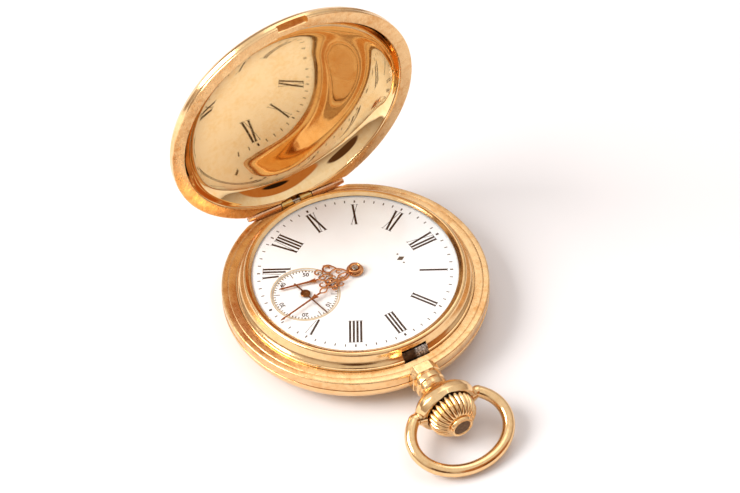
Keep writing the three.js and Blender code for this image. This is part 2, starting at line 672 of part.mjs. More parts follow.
// Room in the bridges for the two pinions on the stem.
const pinionRoom = joined(
  block([12.5, 22], [-2.15, 2.15], [4.2, 7]), block([16.2, 22], [-2.15, 2.15], [3.5, 7]));

function barrelBridge() {
  const top = bridgeDisc.intersect(slab([
    [-16.5, 6.2], [-5.2, 6.2], [-1.6, -1.1], [21, -1.1], [21, 21], [-16.5, 21],
  ]));
  const cockRoom = rod(3.2, 2, 8, COCK_FOOT, 20);
  return without(joined(top, foot(18.7, 12, 138)), balanceWell, cockRoom, pinionRoom,
    rod(0.7, 3, 5, BARREL, 12), rod(0.45, 3, 5, CENTRE, 12), rod(0.35, 3, 5, CROWN_WHEEL, 8));
}

function trainBridge() {
  const top = bridgeDisc.intersect(slab([
    [-1.2, -1.5], [21, -1.5], [21, -21], [-8.2, -21], [-8.2, -10.5], [-5, -3],
  ]));
  return without(joined(top, foot(17.2, -114, -22)), balanceWell, pinionRoom,
    ...pivotHoles(FOURTH, THIRD, ESCAPE));
}

function balanceCock() {
  const arm = plate(bar(COCK_FOOT, BALANCE, 2.7, 1.7), 2.6, 3.35);
  const pillar = rod(2.3, 3.2, PLATE_BOTTOM - FIT, COCK_FOOT, 20);
  return without(joined(arm, pillar), rod(0.25, 2, 4, BALANCE, 10));
}

const PALLET = [(ESCAPE[0] + BALANCE[0]) / 2, (ESCAPE[1] + BALANCE[1]) / 2];

function palletCock() {
  const footAt = [-9.6, -11];
  const arm = plate(bar(footAt, PALLET, 1.3, 0.9), 4.75, 5.4);
  const pillar = rod(1.2, 5.2, PLATE_BOTTOM - FIT, footAt, 14);
  return without(joined(arm, pillar), rod(0.25, 4, 6, PALLET, 8));
}

piece(watch, 'main_plate', mainPlate(), 'nickel');
piece(watch, 'barrel_bridge', barrelBridge(), 'nickel');
piece(watch, 'train_bridge', trainBridge(), 'nickel');
piece(watch, 'balance_cock', balanceCock(), 'nickel');
piece(watch, 'pallet_cock', palletCock(), 'nickel');

// Slotted cheese-head screw with its head on a face that looks to the back.
function screw(headR, faceZ) {
  const head = rod(headR, faceZ - 0.35, faceZ - FIT, CENTRE, 14);
  const slot = block([-headR, headR], [-0.1, 0.1], [faceZ - 1, faceZ - 0.22]);
  return without(head, slot);
}

const SCREWS = {
  barrel_bridge_screw: [polar(19.7, 62 * RAD), BRIDGE_BOTTOM],
  train_bridge_screw: [polar(19, -60 * RAD), BRIDGE_BOTTOM],
  cock_screw: [COCK_FOOT, 2.6],
  case_screw: [polar(19.7, 128 * RAD), BRIDGE_BOTTOM],
};
for (const [name, [at, face]] of Object.entries(SCREWS)) {
  piece(watch, name, screw(0.85, face), 'blueSteel', [...at, 0], 25 * RAD);
}

// ---------------------------------------------------------------- barrel and winding work

const toBarrel = heading(CENTRE, BARREL);

function barrel() {
  const drum = rod(7.8, 5, 6.7, CENTRE, 24);
  const teeth = plate(toothed(TEETH.barrel, 8.229, toBarrel + Math.PI), 6.3, 6.7);
  const cavity = rod(7.35, 5.25, 7, CENTRE, 24);
  return without(joined(drum, teeth), cavity, rod(0.75, 4, 6, CENTRE, 12));
}

function barrelArbor() {
  const core = rod(1.3, 5.32, 6.4, CENTRE, 16);
  const pivots = rod(0.6, 3.9, 8.2, CENTRE, 12);
  const square = block([-0.42, 0.42], [-0.42, 0.42], [3.36, 4]);
  return joined(core, pivots, square);
}

function ratchetWheel() {
  const toCrown = heading(BARREL, CROWN_WHEEL);
  const wheel = plate(toothed(TEETH.ratchet, 7.205, toCrown), 3.35, 3.75);
  return without(wheel, block([-0.46, 0.46], [-0.46, 0.46], [3, 4]));
}

function crownWheel() {
  const phase = gapPhase(CROWN_WHEEL, BARREL, TEETH.crownWheel);
  const wheel = plate(toothed(TEETH.crownWheel, 4.003, phase), 3.35, 3.75);
  return without(wheel, rod(1.05, 3, 4, CENTRE, 16));
}

function crownWheelCore() {
  const head = rod(1.6, 2.95, 3.3, CENTRE, 18);
  const core = rod(1, 3.2, 3.9, CENTRE, 16);
  const slot = block([-1.7, 1.7], [-0.12, 0.12], [2.5, 3.1]);
  return without(joined(head, core), slot);
}

piece(watch, 'barrel', barrel(), 'brass', [...BARREL, 0]);
piece(watch, 'barrel_cover', without(rod(7.2, 6.45, 6.65, CENTRE, 24), rod(0.7, 6, 7)),
  'brass', [...BARREL, 0]);
piece(watch, 'barrel_arbor', barrelArbor(), 'steel', [...BARREL, 0]);
piece(watch, 'mainspring', plate(spiral(1.65, 7, 5, 0.22, 9), 5.4, 6.3), 'blueSteel',
  [...BARREL, 0]);
piece(watch, 'ratchet_wheel', ratchetWheel(), 'steel', [...BARREL, 0]);
piece(watch, 'ratchet_screw', screw(1.5, 3.35), 'blueSteel', [...BARREL, 0]);
piece(watch, 'crown_wheel', crownWheel(), 'steel', [...CROWN_WHEEL, 0]);
piece(watch, 'crown_wheel_core', crownWheelCore(), 'blueSteel', [...CROWN_WHEEL, 0]);

const CLICK = polar(9.1, 112 * RAD, BARREL);

function click() {
  const toRatchet = heading(CLICK, BARREL);
  const hub = polygon([
    polar(0.9, toRatchet + 170 * RAD), polar(0.95, toRatchet - 110 * RAD),
    polar(2.1, toRatchet - 55 * RAD), polar(0.9, toRatchet + 20 * RAD),
    polar(0.95, toRatchet + 100 * RAD),
  ]);
  return joined(plate(hub, 3.4, 3.72), rod(0.75, 3.3, 3.9, CENTRE, 12));
}

function clickSpring() {
  const from = heading(CENTRE, CLICK);
  return plate(sector(19.3, 19.55, from - 4 * RAD, from + 18 * RAD, 8), 3.45, 3.9);
}

piece(watch, 'click', click(), 'steel', [...CLICK, 0]);
piece(watch, 'click_spring', clickSpring(), 'steel');

// ---------------------------------------------------------------- going train

function centreWheel() {
  const phase = gapPhase(CENTRE, BARREL, TEETH.centrePinion);
  const pinion = plate(toothed(TEETH.centrePinion, 1.371, phase), 5.6, 6.85);
  const wheel = plate(crossedOut(toothed(TEETH.centre, 6.4, heading(CENTRE, THIRD)), 5.7, 1.7),
    6.95, 7.15);
  const arbor = joined(rod(0.4, 4, 11.45, CENTRE, 10), rod(0.56, 6.8, 8.5, CENTRE, 12));
  return joined(pinion, wheel, arbor);
}

function thirdWheel() {
  const phase = gapPhase(THIRD, CENTRE, TEETH.thirdPinion);
  const pinion = plate(toothed(TEETH.thirdPinion, 0.8, phase), 6.8, 7.35);
  const wheel = plate(crossedOut(toothed(TEETH.third, 5.25, heading(THIRD, FOURTH)), 4.65, 1.1),
    6.45, 6.62);
  return joined(pinion, wheel, rod(0.25, 4.1, 8.3, CENTRE, 8), rod(0.5, 6.4, 7.4, CENTRE, 8));
}

function fourthWheel() {
  const phase = gapPhase(FOURTH, THIRD, TEETH.fourthPinion);
  const pinion = plate(toothed(TEETH.fourthPinion, 0.7, phase), 6.2, 6.85);
  const wheel = plate(crossedOut(toothed(TEETH.fourth, 5.364, heading(FOURTH, ESCAPE)), 4.8, 1.1),
    5.3, 5.46);
  return joined(pinion, wheel, rod(0.25, 4.1, 9, CENTRE, 8), rod(0.16, 8.9, 10.22, CENTRE, 8),
    rod(0.4, 5.2, 6.3, CENTRE, 8));
}

function escapeWheel() {
  const phase = gapPhase(ESCAPE, FOURTH, TEETH.escapePinion);
  const pinion = plate(toothed(TEETH.escapePinion, 0.536, phase), 5.1, 5.7);
  const outline = [];
  for (let i = 0; i < TEETH.escape; i += 1) {
    const at = (i * FULL_TURN) / TEETH.escape;
    outline.push(polar(2.55, at - 5 * RAD), polar(3.4, at), polar(3.4, at + 4 * RAD));
    outline.push(polar(2.55, at + 6 * RAD));
  }
  const wheel = plate(crossedOut(polygon(outline), 2.15, 0.85, 4, 0.4), 5.85, 6.02);
  return joined(pinion, wheel, rod(0.25, 4.1, 8.3, CENTRE, 8), rod(0.36, 5.6, 5.95, CENTRE, 8));
}

piece(watch, 'centre_wheel', centreWheel(), 'brass');
piece(watch, 'third_wheel', thirdWheel(), 'brass', [...THIRD, 0]);
piece(watch, 'fourth_wheel', fourthWheel(), 'brass', [...FOURTH, 0]);
piece(watch, 'escape_wheel', escapeWheel(), 'brass', [...ESCAPE, 0]);

// ---------------------------------------------------------------- escapement and balance

const toBalance = heading(PALLET, BALANCE);
const PALLET_Z = [6.1, 6.3];

function palletFork() {
  const reach = Math.hypot(BALANCE[0] - PALLET[0], BALANCE[1] - PALLET[1]);
  const lever = plate(bar([0, 0], polar(reach - 1.5, toBalance), 0.35, 0.22), ...PALLET_Z);
  const horns = [-1, 1].map((side) => plate(bar(
    polar(reach - 1.6, toBalance), polar(reach - 0.9, toBalance + side * 9 * RAD), 0.18), ...PALLET_Z));
  const arms = [-1, 1].map((side) => plate(bar(
    [0, 0], polar(2.7, toBalance + Math.PI + side * 48 * RAD), 0.3, 0.24), ...PALLET_Z));
  return joined(lever, ...horns, ...arms, rod(0.2, 4.9, 7.5, CENTRE, 8));
}

const RIM_SCREWS = 10;

function balanceWheel() {
  const rim = turned([
    [6.3, 3.95], [BALANCE_R, 3.95], [BALANCE_R, 4.45], [6.3, 4.45],
  ], 24);
  const arm = block([-6.5, 6.5], [-0.45, 0.45], [4.05, 4.35]);
  const staff = joined(rod(0.18, 2.7, 8.3, CENTRE, 8), rod(0.45, 3.72, 6.4, CENTRE, 10));
  const roller = rod(1.5, 6.5, 6.7, CENTRE, 20);
  const rollerPin = rod(0.16, 6.36, 6.6, polar(1.15, toBalance + Math.PI), 8);
  const screws = Array.from({ length: RIM_SCREWS }, (_, i) => {
    const head = new THREE.CylinderGeometry(0.24, 0.24, 0.45, 6);
    head.rotateZ(Math.PI / 2);
    head.translate(BALANCE_R + 0.12, 0, 4.2);
    head.rotateZ(((i + 0.5) * FULL_TURN) / RIM_SCREWS);
    return solid(head);
  });
  return joined(rim, arm, staff, roller, rollerPin, rod(0.45, 6.3, 6.6, CENTRE, 10), ...screws);
}

const REGULATOR_LENGTH = 6.2;
const REGULATOR_SET = 14 * RAD;

function regulator() {
  const toFoot = heading(BALANCE, COCK_FOOT);
  return plate(bar([0, 0], polar(REGULATOR_LENGTH, toFoot + REGULATOR_SET), 1.1, 0.16), 2.35, 2.55);
}

piece(watch, 'pallet_fork', palletFork(), 'steel', [...PALLET, 0]);
piece(watch, 'balance_wheel', balanceWheel(), 'brass', [...BALANCE, 0]);
piece(watch, 'hairspring', plate(spiral(0.6, 3.3, 5, 0.09, 9), 3.45, 3.65), 'blueSteel',
  [...BALANCE, 0]);
piece(watch, 'regulator', regulator(), 'steel', [...BALANCE, 0]);

// ---------------------------------------------------------------- keyless works on the stem

const WINDING_R = 1.62;
const SLIDING_R = 1.3;
const STEM_BORE_R = 0.92;     // bore of the two pinions on the stem

// Pinion along X on the stem, with its teeth round it and an open bore.
function stemPinion(teeth, pitchR, low, high) {
  const geometry = new THREE.ExtrudeGeometry(toothed(teeth, pitchR), {
    depth: high - low, bevelEnabled: false,
  });
  geometry.rotateY(Math.PI / 2);
  geometry.translate(low, 0, STEM_Z);
  return without(solid(geometry), rodX(STEM_BORE_R, low - 1, high + 1, STEM_Z, 16));
}

piece(watch, 'winding_pinion', stemPinion(TEETH.windingPinion, WINDING_R, 16.5, 18.3), 'steel');
piece(watch, 'sliding_pinion', stemPinion(TEETH.slidingPinion, SLIDING_R, 13.2, 16.2), 'steel');

const LEVER_PIVOT = [18.7, -5];

function settingLever() {
  const arm = plate(bar([0, 0], [0.85, 3.85], 0.75, 0.3), 5.55, 5.9);
  return joined(arm, rod(0.45, BRIDGE_TOP + 0.05, PLATE_BOTTOM - 0.05, CENTRE, 12));
}

piece(watch, 'setting_lever', settingLever(), 'steel', [...LEVER_PIVOT, 0]);

export default watch;
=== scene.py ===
# Looks of the hunter-case pocket watch: gold case, enamel dial, pierced hands, movement and studio.
# Lengths are millimetres in the CAD's frame and become metres when a mesh is made.
import json
from math import asin, atan2, cos, pi, sin, sqrt, tan

import bmesh
import bpy
from mathutils import Matrix, Vector, noise

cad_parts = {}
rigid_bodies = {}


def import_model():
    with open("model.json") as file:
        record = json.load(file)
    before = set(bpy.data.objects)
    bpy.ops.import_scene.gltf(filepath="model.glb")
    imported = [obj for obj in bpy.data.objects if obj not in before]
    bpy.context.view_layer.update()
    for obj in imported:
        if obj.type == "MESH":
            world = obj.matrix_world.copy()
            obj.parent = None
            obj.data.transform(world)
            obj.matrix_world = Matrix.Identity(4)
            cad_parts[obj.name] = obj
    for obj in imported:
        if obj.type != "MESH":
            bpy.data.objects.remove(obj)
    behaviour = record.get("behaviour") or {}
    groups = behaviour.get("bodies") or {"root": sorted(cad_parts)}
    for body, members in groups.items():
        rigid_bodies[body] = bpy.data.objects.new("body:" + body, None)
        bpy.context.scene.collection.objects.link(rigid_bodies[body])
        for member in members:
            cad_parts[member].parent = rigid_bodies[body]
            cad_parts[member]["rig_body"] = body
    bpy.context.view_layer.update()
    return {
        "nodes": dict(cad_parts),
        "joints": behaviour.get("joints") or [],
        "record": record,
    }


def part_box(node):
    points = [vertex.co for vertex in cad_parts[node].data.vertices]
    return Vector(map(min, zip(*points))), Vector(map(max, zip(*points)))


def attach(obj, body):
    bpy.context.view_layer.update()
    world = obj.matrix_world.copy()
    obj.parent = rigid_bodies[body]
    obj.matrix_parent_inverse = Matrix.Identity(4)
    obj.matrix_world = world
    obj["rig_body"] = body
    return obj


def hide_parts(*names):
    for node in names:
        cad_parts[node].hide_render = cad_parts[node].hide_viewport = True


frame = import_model()

MM = 0.001
RAD = pi / 180
FULL_TURN = 2 * pi
FINE = 192                    # segments round a large turned piece
MEDIUM = 96
SMALL = 40
ON_AXIS = 1e-9                # a profile point nearer the axis than this is on it
MERGE = 1e-7                  # metres between vertices that become one
MOST_REACH = 0.48             # share of an edge that one rounded corner may take
DOT_SIDES = 12


# ---- places taken from the frame

def box_mm(node):
    low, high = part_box(node)
    return low / MM, high / MM


def joint(name):
    return next(j for j in frame["joints"] if j["name"] == name)


def joint_place(name):
    return Vector(joint(name)["pos_m"]) / MM


CASE_R = box_mm("case_band")[1].y
FLANGE_Z = box_mm("case_band")[1].z
BAND_LOW = box_mm("back_cover")[1].z
BEZEL_R = box_mm("bezel")[1].y
DIAL_R = box_mm("dial")[1].y
DIAL_Z = box_mm("dial")[1].z
SECONDS_Z = box_mm("seconds_dial")[1].z
LID_HINGE = joint_place("lid_hinge")
LID_OPEN = -joint("lid_hinge")["range_deg"][0] * RAD
BOW_PIVOT = joint_place("bow_hinge")
STEM_Z = BOW_PIVOT.z
STEM_AT = (0, 0, STEM_Z)
BACK_HINGE = joint_place("back_cover_hinge")
SECONDS_AT = joint_place("seconds_turn")
DIAL_TURN = atan2(SECONDS_AT.x, -SECONDS_AT.y)


# ---- mesh helpers

def linked(name, data, place=None):
    """New object in the scene."""
    made = bpy.data.objects.new(name, data)
    bpy.context.scene.collection.objects.link(made)
    if place:
        made.matrix_world = place
    return made


def finished(name, shape, materials, replaces=(), body="case", slot="gold_case", sharp=35, place=None,
             pick=None):
    """Piece that rides on a body and stands for CAD nodes; pick() chooses the material of a face."""
    mesh = as_mesh(shape, name)
    for material in materials:
        mesh.materials.append(material)
    mesh.shade_smooth()
    mesh.set_sharp_from_angle(angle=sharp * RAD)
    if pick:
        for face in mesh.polygons:
            face.material_index = pick(face.center / MM, face.normal)
    piece = linked(name, mesh, place)
    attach(piece, body)
    if replaces:
        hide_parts(*replaces)
    return piece


class Solid:
    """Vertices in millimetres and faces, gathered until they become a mesh."""

    def __init__(self):
        self.points = []
        self.faces = []

    def add(self, points, faces):
        base = len(self.points)
        self.points += [Vector(p) for p in points]
        self.faces += [tuple(base + i for i in face) for face in faces]
        return self

    def join(self, other, matrix=None):
        points = [matrix @ p for p in other.points] if matrix else other.points
        return self.add(points, other.faces)

    def moved(self, matrix):
        self.points = [matrix @ p for p in self.points]
        return self

    def mesh(self, name):
        mesh = bpy.data.meshes.new(name)
        mesh.from_pydata([p * MM for p in self.points], [], self.faces)
        shape = bmesh.new()
        shape.from_mesh(mesh)
        bmesh.ops.remove_doubles(shape, verts=shape.verts, dist=MERGE)
        bmesh.ops.recalc_face_normals(shape, faces=shape.faces)
        shape.to_mesh(mesh)
        shape.free()
        return mesh


def as_mesh(shape, name):
    return shape.mesh(name) if isinstance(shape, Solid) else shape


def rounded(corners, steps=4):
    """Outline through (x, y) or (x, y, radius) corners; a radius rounds its corner."""
    line = []
    count = len(corners)
    for i, corner in enumerate(corners):
        here = Vector(corner[:2])
        radius = corner[2] if len(corner) > 2 else 0
        if not radius:
            line.append(here)
            continue
        before = Vector(corners[i - 1][:2]) - here
        after = Vector(corners[(i + 1) % count][:2]) - here
        reach = radius / tan(before.angle(after) / 2)
        reach = min(reach, before.length * MOST_REACH, after.length * MOST_REACH)
        start = here + before.normalized() * reach
        end = here + after.normalized() * reach
        for k in range(steps + 1):
            t = k / steps
            line.append(start * (1 - t) ** 2 + here * 2 * t * (1 - t) + end * t * t)
    return line


def smooth_line(points, steps=6):
    """Catmull-Rom line through the points."""
    spots = [Vector(p) for p in points]
    spots = [2 * spots[0] - spots[1], *spots, 2 * spots[-1] - spots[-2]]
    line = []
    for a, b, c, d in zip(spots, spots[1:], spots[2:], spots[3:]):
        for k in range(steps):
            t = k / steps
            bend = (2 * a - 5 * b + 4 * c - d) * t ** 2
            twist = (3 * b - a - 3 * c + d) * t ** 3
            line.append((2 * b + (c - a) * t + bend + twist) / 2)
    line.append(spots[-2])
    return line


SIDES = {"left": Matrix.Diagonal((1, -1, 1, 1)), "right": Matrix.Identity(4)}
AXES = {
    "z": Matrix.Identity(4),
    "x": Matrix.Rotation(pi / 2, 4, "Y"),
    "y": Matrix.Rotation(-pi / 2, 4, "X"),
}


def turned(profile, segments=FINE, axis="z", at=(0, 0, 0), swell=None):
    """Closed profile of (radius, height) turned about an axis; swell(angle, radius, height) scales it."""
    profile = [Vector(p[:2]) for p in profile]
    count = len(profile)
    points = []
    for i in range(segments):
        angle = i * FULL_TURN / segments
        for r, h in profile:
            r *= swell(angle, r, h) if swell else 1
            points.append((r * cos(angle), r * sin(angle), h))
    faces = []
    for i in range(segments):
        j = (i + 1) % segments
        for k in range(count):
            m = (k + 1) % count
            starts_on_axis = profile[k].x < ON_AXIS
            ends_on_axis = profile[m].x < ON_AXIS
            if starts_on_axis and ends_on_axis:
                continue
            quad = (i * count + k, j * count + k, j * count + m, i * count + m)
            if starts_on_axis:
                quad = (quad[0], quad[2], quad[3])
            elif ends_on_axis:
                quad = quad[:3]
            faces.append(quad)
    made = Solid().add(points, faces)
    return made.moved(Matrix.Translation(at) @ AXES[axis])


def extruded(outline, low, high):
    """Flat plate with the given outline between two heights."""
    points = [(p[0], p[1], z) for z in (low, high) for p in outline]
    n = len(outline)
    faces = [tuple(range(n - 1, -1, -1)), tuple(range(n, 2 * n))]
    faces += [(i, (i + 1) % n, n + (i + 1) % n, n + i) for i in range(n)]
    return Solid().add(points, faces)


def block(x, y, z):
    """Box between a low and a high value on each axis."""
    return extruded([(x[0], y[0]), (x[1], y[0]), (x[1], y[1]), (x[0], y[1])], *z)


def rod(r, low, high, axis="z", at=(0, 0, 0), segments=SMALL):
    """Round bar along an axis."""
    return turned([(0, low), (r, low), (r, high), (0, high)], segments, axis, at)


def lofted(points, n):
    """Solid through consecutive rings of n points, closed at both ends."""
    last = len(points) - n
    faces = [(i + k, i + (k + 1) % n, i + n + (k + 1) % n, i + n + k)
             for i in range(0, last, n) for k in range(n)]
    faces += [tuple(range(n - 1, -1, -1)), tuple(range(last, last + n))]
    return Solid().add(points, faces)


def swept(path, half_width, half_height, sides=10):
    """Rounded bar along a path; the half sizes may be numbers or functions of the share along it."""
    path = [Vector(p) for p in path]
    end = len(path) - 1
    width = half_width if callable(half_width) else lambda t: half_width
    height = half_height if callable(half_height) else lambda t: half_height
    points = []
    for i, here in enumerate(path):
        along = (path[min(i + 1, end)] - path[max(i - 1, 0)]).normalized()
        side = along.cross(Vector((0, 0, 1))).normalized()
        lift = side.cross(along)
        for k in range(sides):
            angle = (k + 0.5) * FULL_TURN / sides
            points.append(here + side * width(i / end) * cos(angle) + lift * height(i / end) * sin(angle))
    return lofted(points, sides)


def combined(shape, operation, solids):
    """Mesh of a shape after taking the solids from it, or after keeping only what lies inside them."""
    whole = linked("whole", as_mesh(shape, "whole"))
    tools = []
    for i, solid in enumerate(solids):
        tool = linked(f"tool_{i}", solid.mesh(f"tool_{i}"))
        tools.append(tool)
        boolean = whole.modifiers.new(f"step_{i}", "BOOLEAN")
        boolean.operation = operation
        boolean.object = tool
        boolean.solver = "EXACT"
    bpy.context.view_layer.update()
    graph = bpy.context.evaluated_depsgraph_get()
    result = bpy.data.meshes.new_from_object(whole.evaluated_get(graph))
    for used in [whole, *tools]:
        bpy.data.objects.remove(used)
    return result


def cut(shape, *cutters):
    return combined(shape, "DIFFERENCE", cutters)


# ---- material helpers

def add_node(tree, kind, inputs=(), **settings):
    """Adds a shader node; each input is a value or another node's output."""
    made = tree.nodes.new(f"ShaderNode{kind}")
    for key, value in settings.items():
        setattr(made, key, value)
    for key, value in dict(inputs).items():
        if isinstance(value, bpy.types.NodeSocket):
            tree.links.new(value, made.inputs[key])
        else:
            made.inputs[key].default_value = value
    return made


class Shader:
    """A principled material with short calls for its nodes."""

    def __init__(self, name, **sockets):
        self.material = bpy.data.materials.new(name)
        self.material.use_nodes = True
        self.tree = self.material.node_tree
        self.base = self.tree.nodes["Principled BSDF"]
        for socket, value in sockets.items():
            self.base.inputs[socket.replace("_", " ")].default_value = value
        here = self.node("TexCoord").outputs["Object"]
        self.place = self.node("VectorMath", {0: here, "Scale": 1 / MM}, operation="SCALE").outputs[0]

    def node(self, kind, inputs=(), **settings):
        return add_node(self.tree, kind, inputs, **settings)

    def wear(self, colour, roughness=None, normal=None):
        """Joins up the sockets through which a surface shows its age."""
        for socket, value in (("Base Color", colour), ("Roughness", roughness), ("Normal", normal)):
            if value:
                self.tree.links.new(value, self.base.inputs[socket])

    def math(self, operation, a, b=0.0):
        return self.node("Math", {0: a, 1: b}, operation=operation).outputs[0]

    def stretched(self, scale):
        return self.node("VectorMath", {0: self.place, 1: scale}, operation="MULTIPLY").outputs[0]

    def noise(self, scale, detail=3.0, place=None, rough=0.55):
        inputs = {"Vector": place or self.place, "Scale": scale, "Detail": detail, "Roughness": rough}
        return self.node("TexNoise", inputs).outputs["Fac"]

    def spread(self, value, low, high, to_low=0.0, to_high=1.0):
        inputs = {"Value": value, "From Min": low, "From Max": high, "To Min": to_low, "To Max": to_high}
        return self.node("MapRange", inputs).outputs[0]

    def mix(self, share, a, b):
        a, b = (end if isinstance(end, bpy.types.NodeSocket) else (*end, 1) for end in (a, b))
        return self.node("Mix", {0: share, 6: a, 7: b}, data_type="RGBA").outputs[2]

    def radius(self):
        """Distance from the turning axis Z, in millimetres."""
        flat = self.stretched((1, 1, 0))
        return self.node("VectorMath", {0: flat}, operation="LENGTH").outputs["Value"]

    def rings(self, per_mm):
        """Fine concentric turning marks."""
        inputs = {"W": self.radius(), "Scale": per_mm, "Detail": 2.0}
        return self.node("TexNoise", inputs, noise_dimensions="1D").outputs["Fac"]

    def bump(self, height, depth_um, strength=1.0, normal=None):
        inputs = {"Height": height, "Distance": depth_um * MICROMETRE, "Strength": strength}
        if normal:
            inputs["Normal"] = normal
        return self.node("Bump", inputs).outputs[0]


DIRT = (0.09, 0.045, 0.02)
SMOOTHEST = 0.72              # shares of a metal's roughness where it is least and most worn
ROUGHEST = 1.4
MICROMETRE = 1e-6


def metal(name, colour, deep, rough, scratch=1.0, satin=0.0, ring_marks=0.0, soil=0.0):
    """Worn metal: tarnish drifting over it, hairline scratches, and a satin or turned grain if asked."""
    made = Shader(name, Metallic=1.0)
    drift = made.noise(0.22, 4)
    patch = made.noise(1.1, 5)
    tarnish = made.spread(made.math("MULTIPLY", drift, patch), 0.2, 0.42)
    tone = made.mix(tarnish, colour, deep)
    if soil:
        spots = made.spread(made.noise(2.6, 6, rough=0.7), 0.66, 0.74, 0.0, soil)
        tone = made.mix(spots, tone, DIRT)
    cloud = made.noise(0.6, 5)
    lines = made.noise(1.0, 6, made.stretched((0.9, 14.0, 5.0)))
    wear = made.math("ADD", cloud, lines)
    cross = made.noise(1.0, 4, made.stretched((11.0, 1.1, 7.0)))
    hair = made.spread(made.math("MULTIPLY", lines, cross), 0.34, 0.42)
    normal = made.bump(hair, 2.0 * scratch)
    if satin:
        normal = made.bump(made.noise(16.0, 3), satin, normal=normal)
    if ring_marks:
        normal = made.bump(made.rings(7.0), ring_marks, normal=normal)
    made.wear(tone, made.spread(wear, 0.7, 1.3, rough * SMOOTHEST, rough * ROUGHEST), normal)
    return made.material


GOLD = (0.87, 0.57, 0.28)
GOLD_DEEP = (0.70, 0.36, 0.13)

satin_gold = metal("gold_satin", GOLD, GOLD_DEEP, 0.27, satin=1.2, ring_marks=1.0, soil=0.75)
case_gold = metal("gold_case", GOLD, GOLD_DEEP, 0.17, satin=0.5, soil=0.45)
bright_gold = metal("gold_polished", (0.90, 0.61, 0.31), (0.82, 0.50, 0.22), 0.15, satin=0.3, soil=0.2)
mirror_gold = metal("gold_mirror", (0.97, 0.70, 0.37), (0.94, 0.61, 0.27), 0.03, scratch=0.3)
hinge_gold = metal("gold_rose", (0.80, 0.49, 0.29), (0.66, 0.34, 0.17), 0.24, satin=0.8, soil=0.5)
# dark gold painted into the crown's rib valleys as shade
valley_shade_gold = metal("gold_valley_shade", (0.24, 0.12, 0.05), (0.12, 0.055, 0.02), 0.4)
knuckle_gold = metal("gold_knuckle", (0.78, 0.58, 0.25), (0.55, 0.36, 0.12), 0.22, soil=0.8)
copper = metal("hand_copper", (0.66, 0.30, 0.12), (0.44, 0.17, 0.06), 0.24)
dark_copper = metal("seconds_copper", (0.24, 0.10, 0.035), (0.14, 0.05, 0.02), 0.32)
steel = metal("steel", (0.62, 0.61, 0.60), (0.40, 0.38, 0.37), 0.24, satin=0.6)
blue_steel = metal("blued_steel", (0.06, 0.11, 0.34), (0.10, 0.06, 0.22), 0.16)
brass = metal("gilt_brass", (0.86, 0.65, 0.30), (0.72, 0.49, 0.18), 0.2, ring_marks=1.2)


def ribbed_nickel():
    """Nickelled bridges with wide wavy stripes."""
    made = Shader("nickel_striped", Metallic=1.0)
    wave = made.node("TexWave", {"Vector": made.place, "Scale": 0.36, "Distortion": 0.6, "Detail": 1.0},
                     bands_direction="DIAGONAL", wave_profile="SAW").outputs["Fac"]
    grain = made.noise(1.0, 4, made.stretched((3.0, 22.0, 1.0)))
    made.wear(made.mix(wave, (0.66, 0.62, 0.54), (0.82, 0.78, 0.70)),
              made.spread(grain, 0.3, 0.7, 0.16, 0.34),
              made.bump(grain, 2.0, normal=made.bump(wave, 14.0)))
    return made.material


def corroded_steel():
    """Old spring steel: nearly black on one half, grey and pitted on the other."""
    made = Shader("steel_corroded", Metallic=0.85)
    split = made.node("SeparateXYZ", {0: made.place}).outputs["Y"]
    edge = made.math("ADD", split, made.math("MULTIPLY", made.noise(0.9, 4), 1.6))
    grey = made.spread(edge, 1.1, 1.7)
    pits = made.noise(3.4, 6, rough=0.75)
    dark = made.mix(made.spread(pits, 0.35, 0.7), (0.035, 0.02, 0.012), (0.16, 0.08, 0.035))
    light = made.mix(made.spread(pits, 0.45, 0.56), (0.14, 0.11, 0.09), (0.85, 0.79, 0.72))
    made.wear(made.mix(grey, dark, light), made.spread(pits, 0.3, 0.7, 0.32, 0.7), made.bump(pits, 90.0))
    return made.material


def matt_cap():
    """Worn, darkened end of the crown's screw."""
    made = Shader("cap_dark", Metallic=0.55)
    wear = made.noise(2.2, 6, rough=0.7)
    made.wear(made.mix(made.spread(wear, 0.35, 0.65), (0.10, 0.055, 0.03), (0.26, 0.16, 0.09)),
              made.spread(wear, 0.3, 0.7, 0.5, 0.75), made.bump(wear, 40.0))
    return made.material


def white_enamel():
    """Fired enamel: nearly white, glossy, faintly clouded and dimpled."""
    made = Shader("enamel", Coat_Weight=0.6, Coat_Roughness=0.05)
    cloud = made.noise(0.16, 3)
    dimple = made.noise(1.8, 2)
    made.wear(made.mix(made.spread(cloud, 0.35, 0.65), (0.93, 0.90, 0.885), (0.96, 0.95, 0.94)),
              made.spread(dimple, 0.3, 0.7, 0.14, 0.24), made.bump(dimple, 1.2))
    return made.material


def ink(name, colour, other):
    """Fired-on print: matt, and a little thin in places."""
    made = Shader(name)
    worn = made.spread(made.noise(5.0, 4), 0.35, 0.7)
    made.wear(made.mix(worn, colour, other), made.spread(worn, 0.0, 1.0, 0.45, 0.6))
    made.base.inputs["Specular IOR Level"].default_value = 0.15
    return made.material


GLASS_FRONT = 0.012           # share of light reflected seen straight on
GLASS_EDGE = 0.5              # and how much more along the surface
GLASS_RISE = 5.0


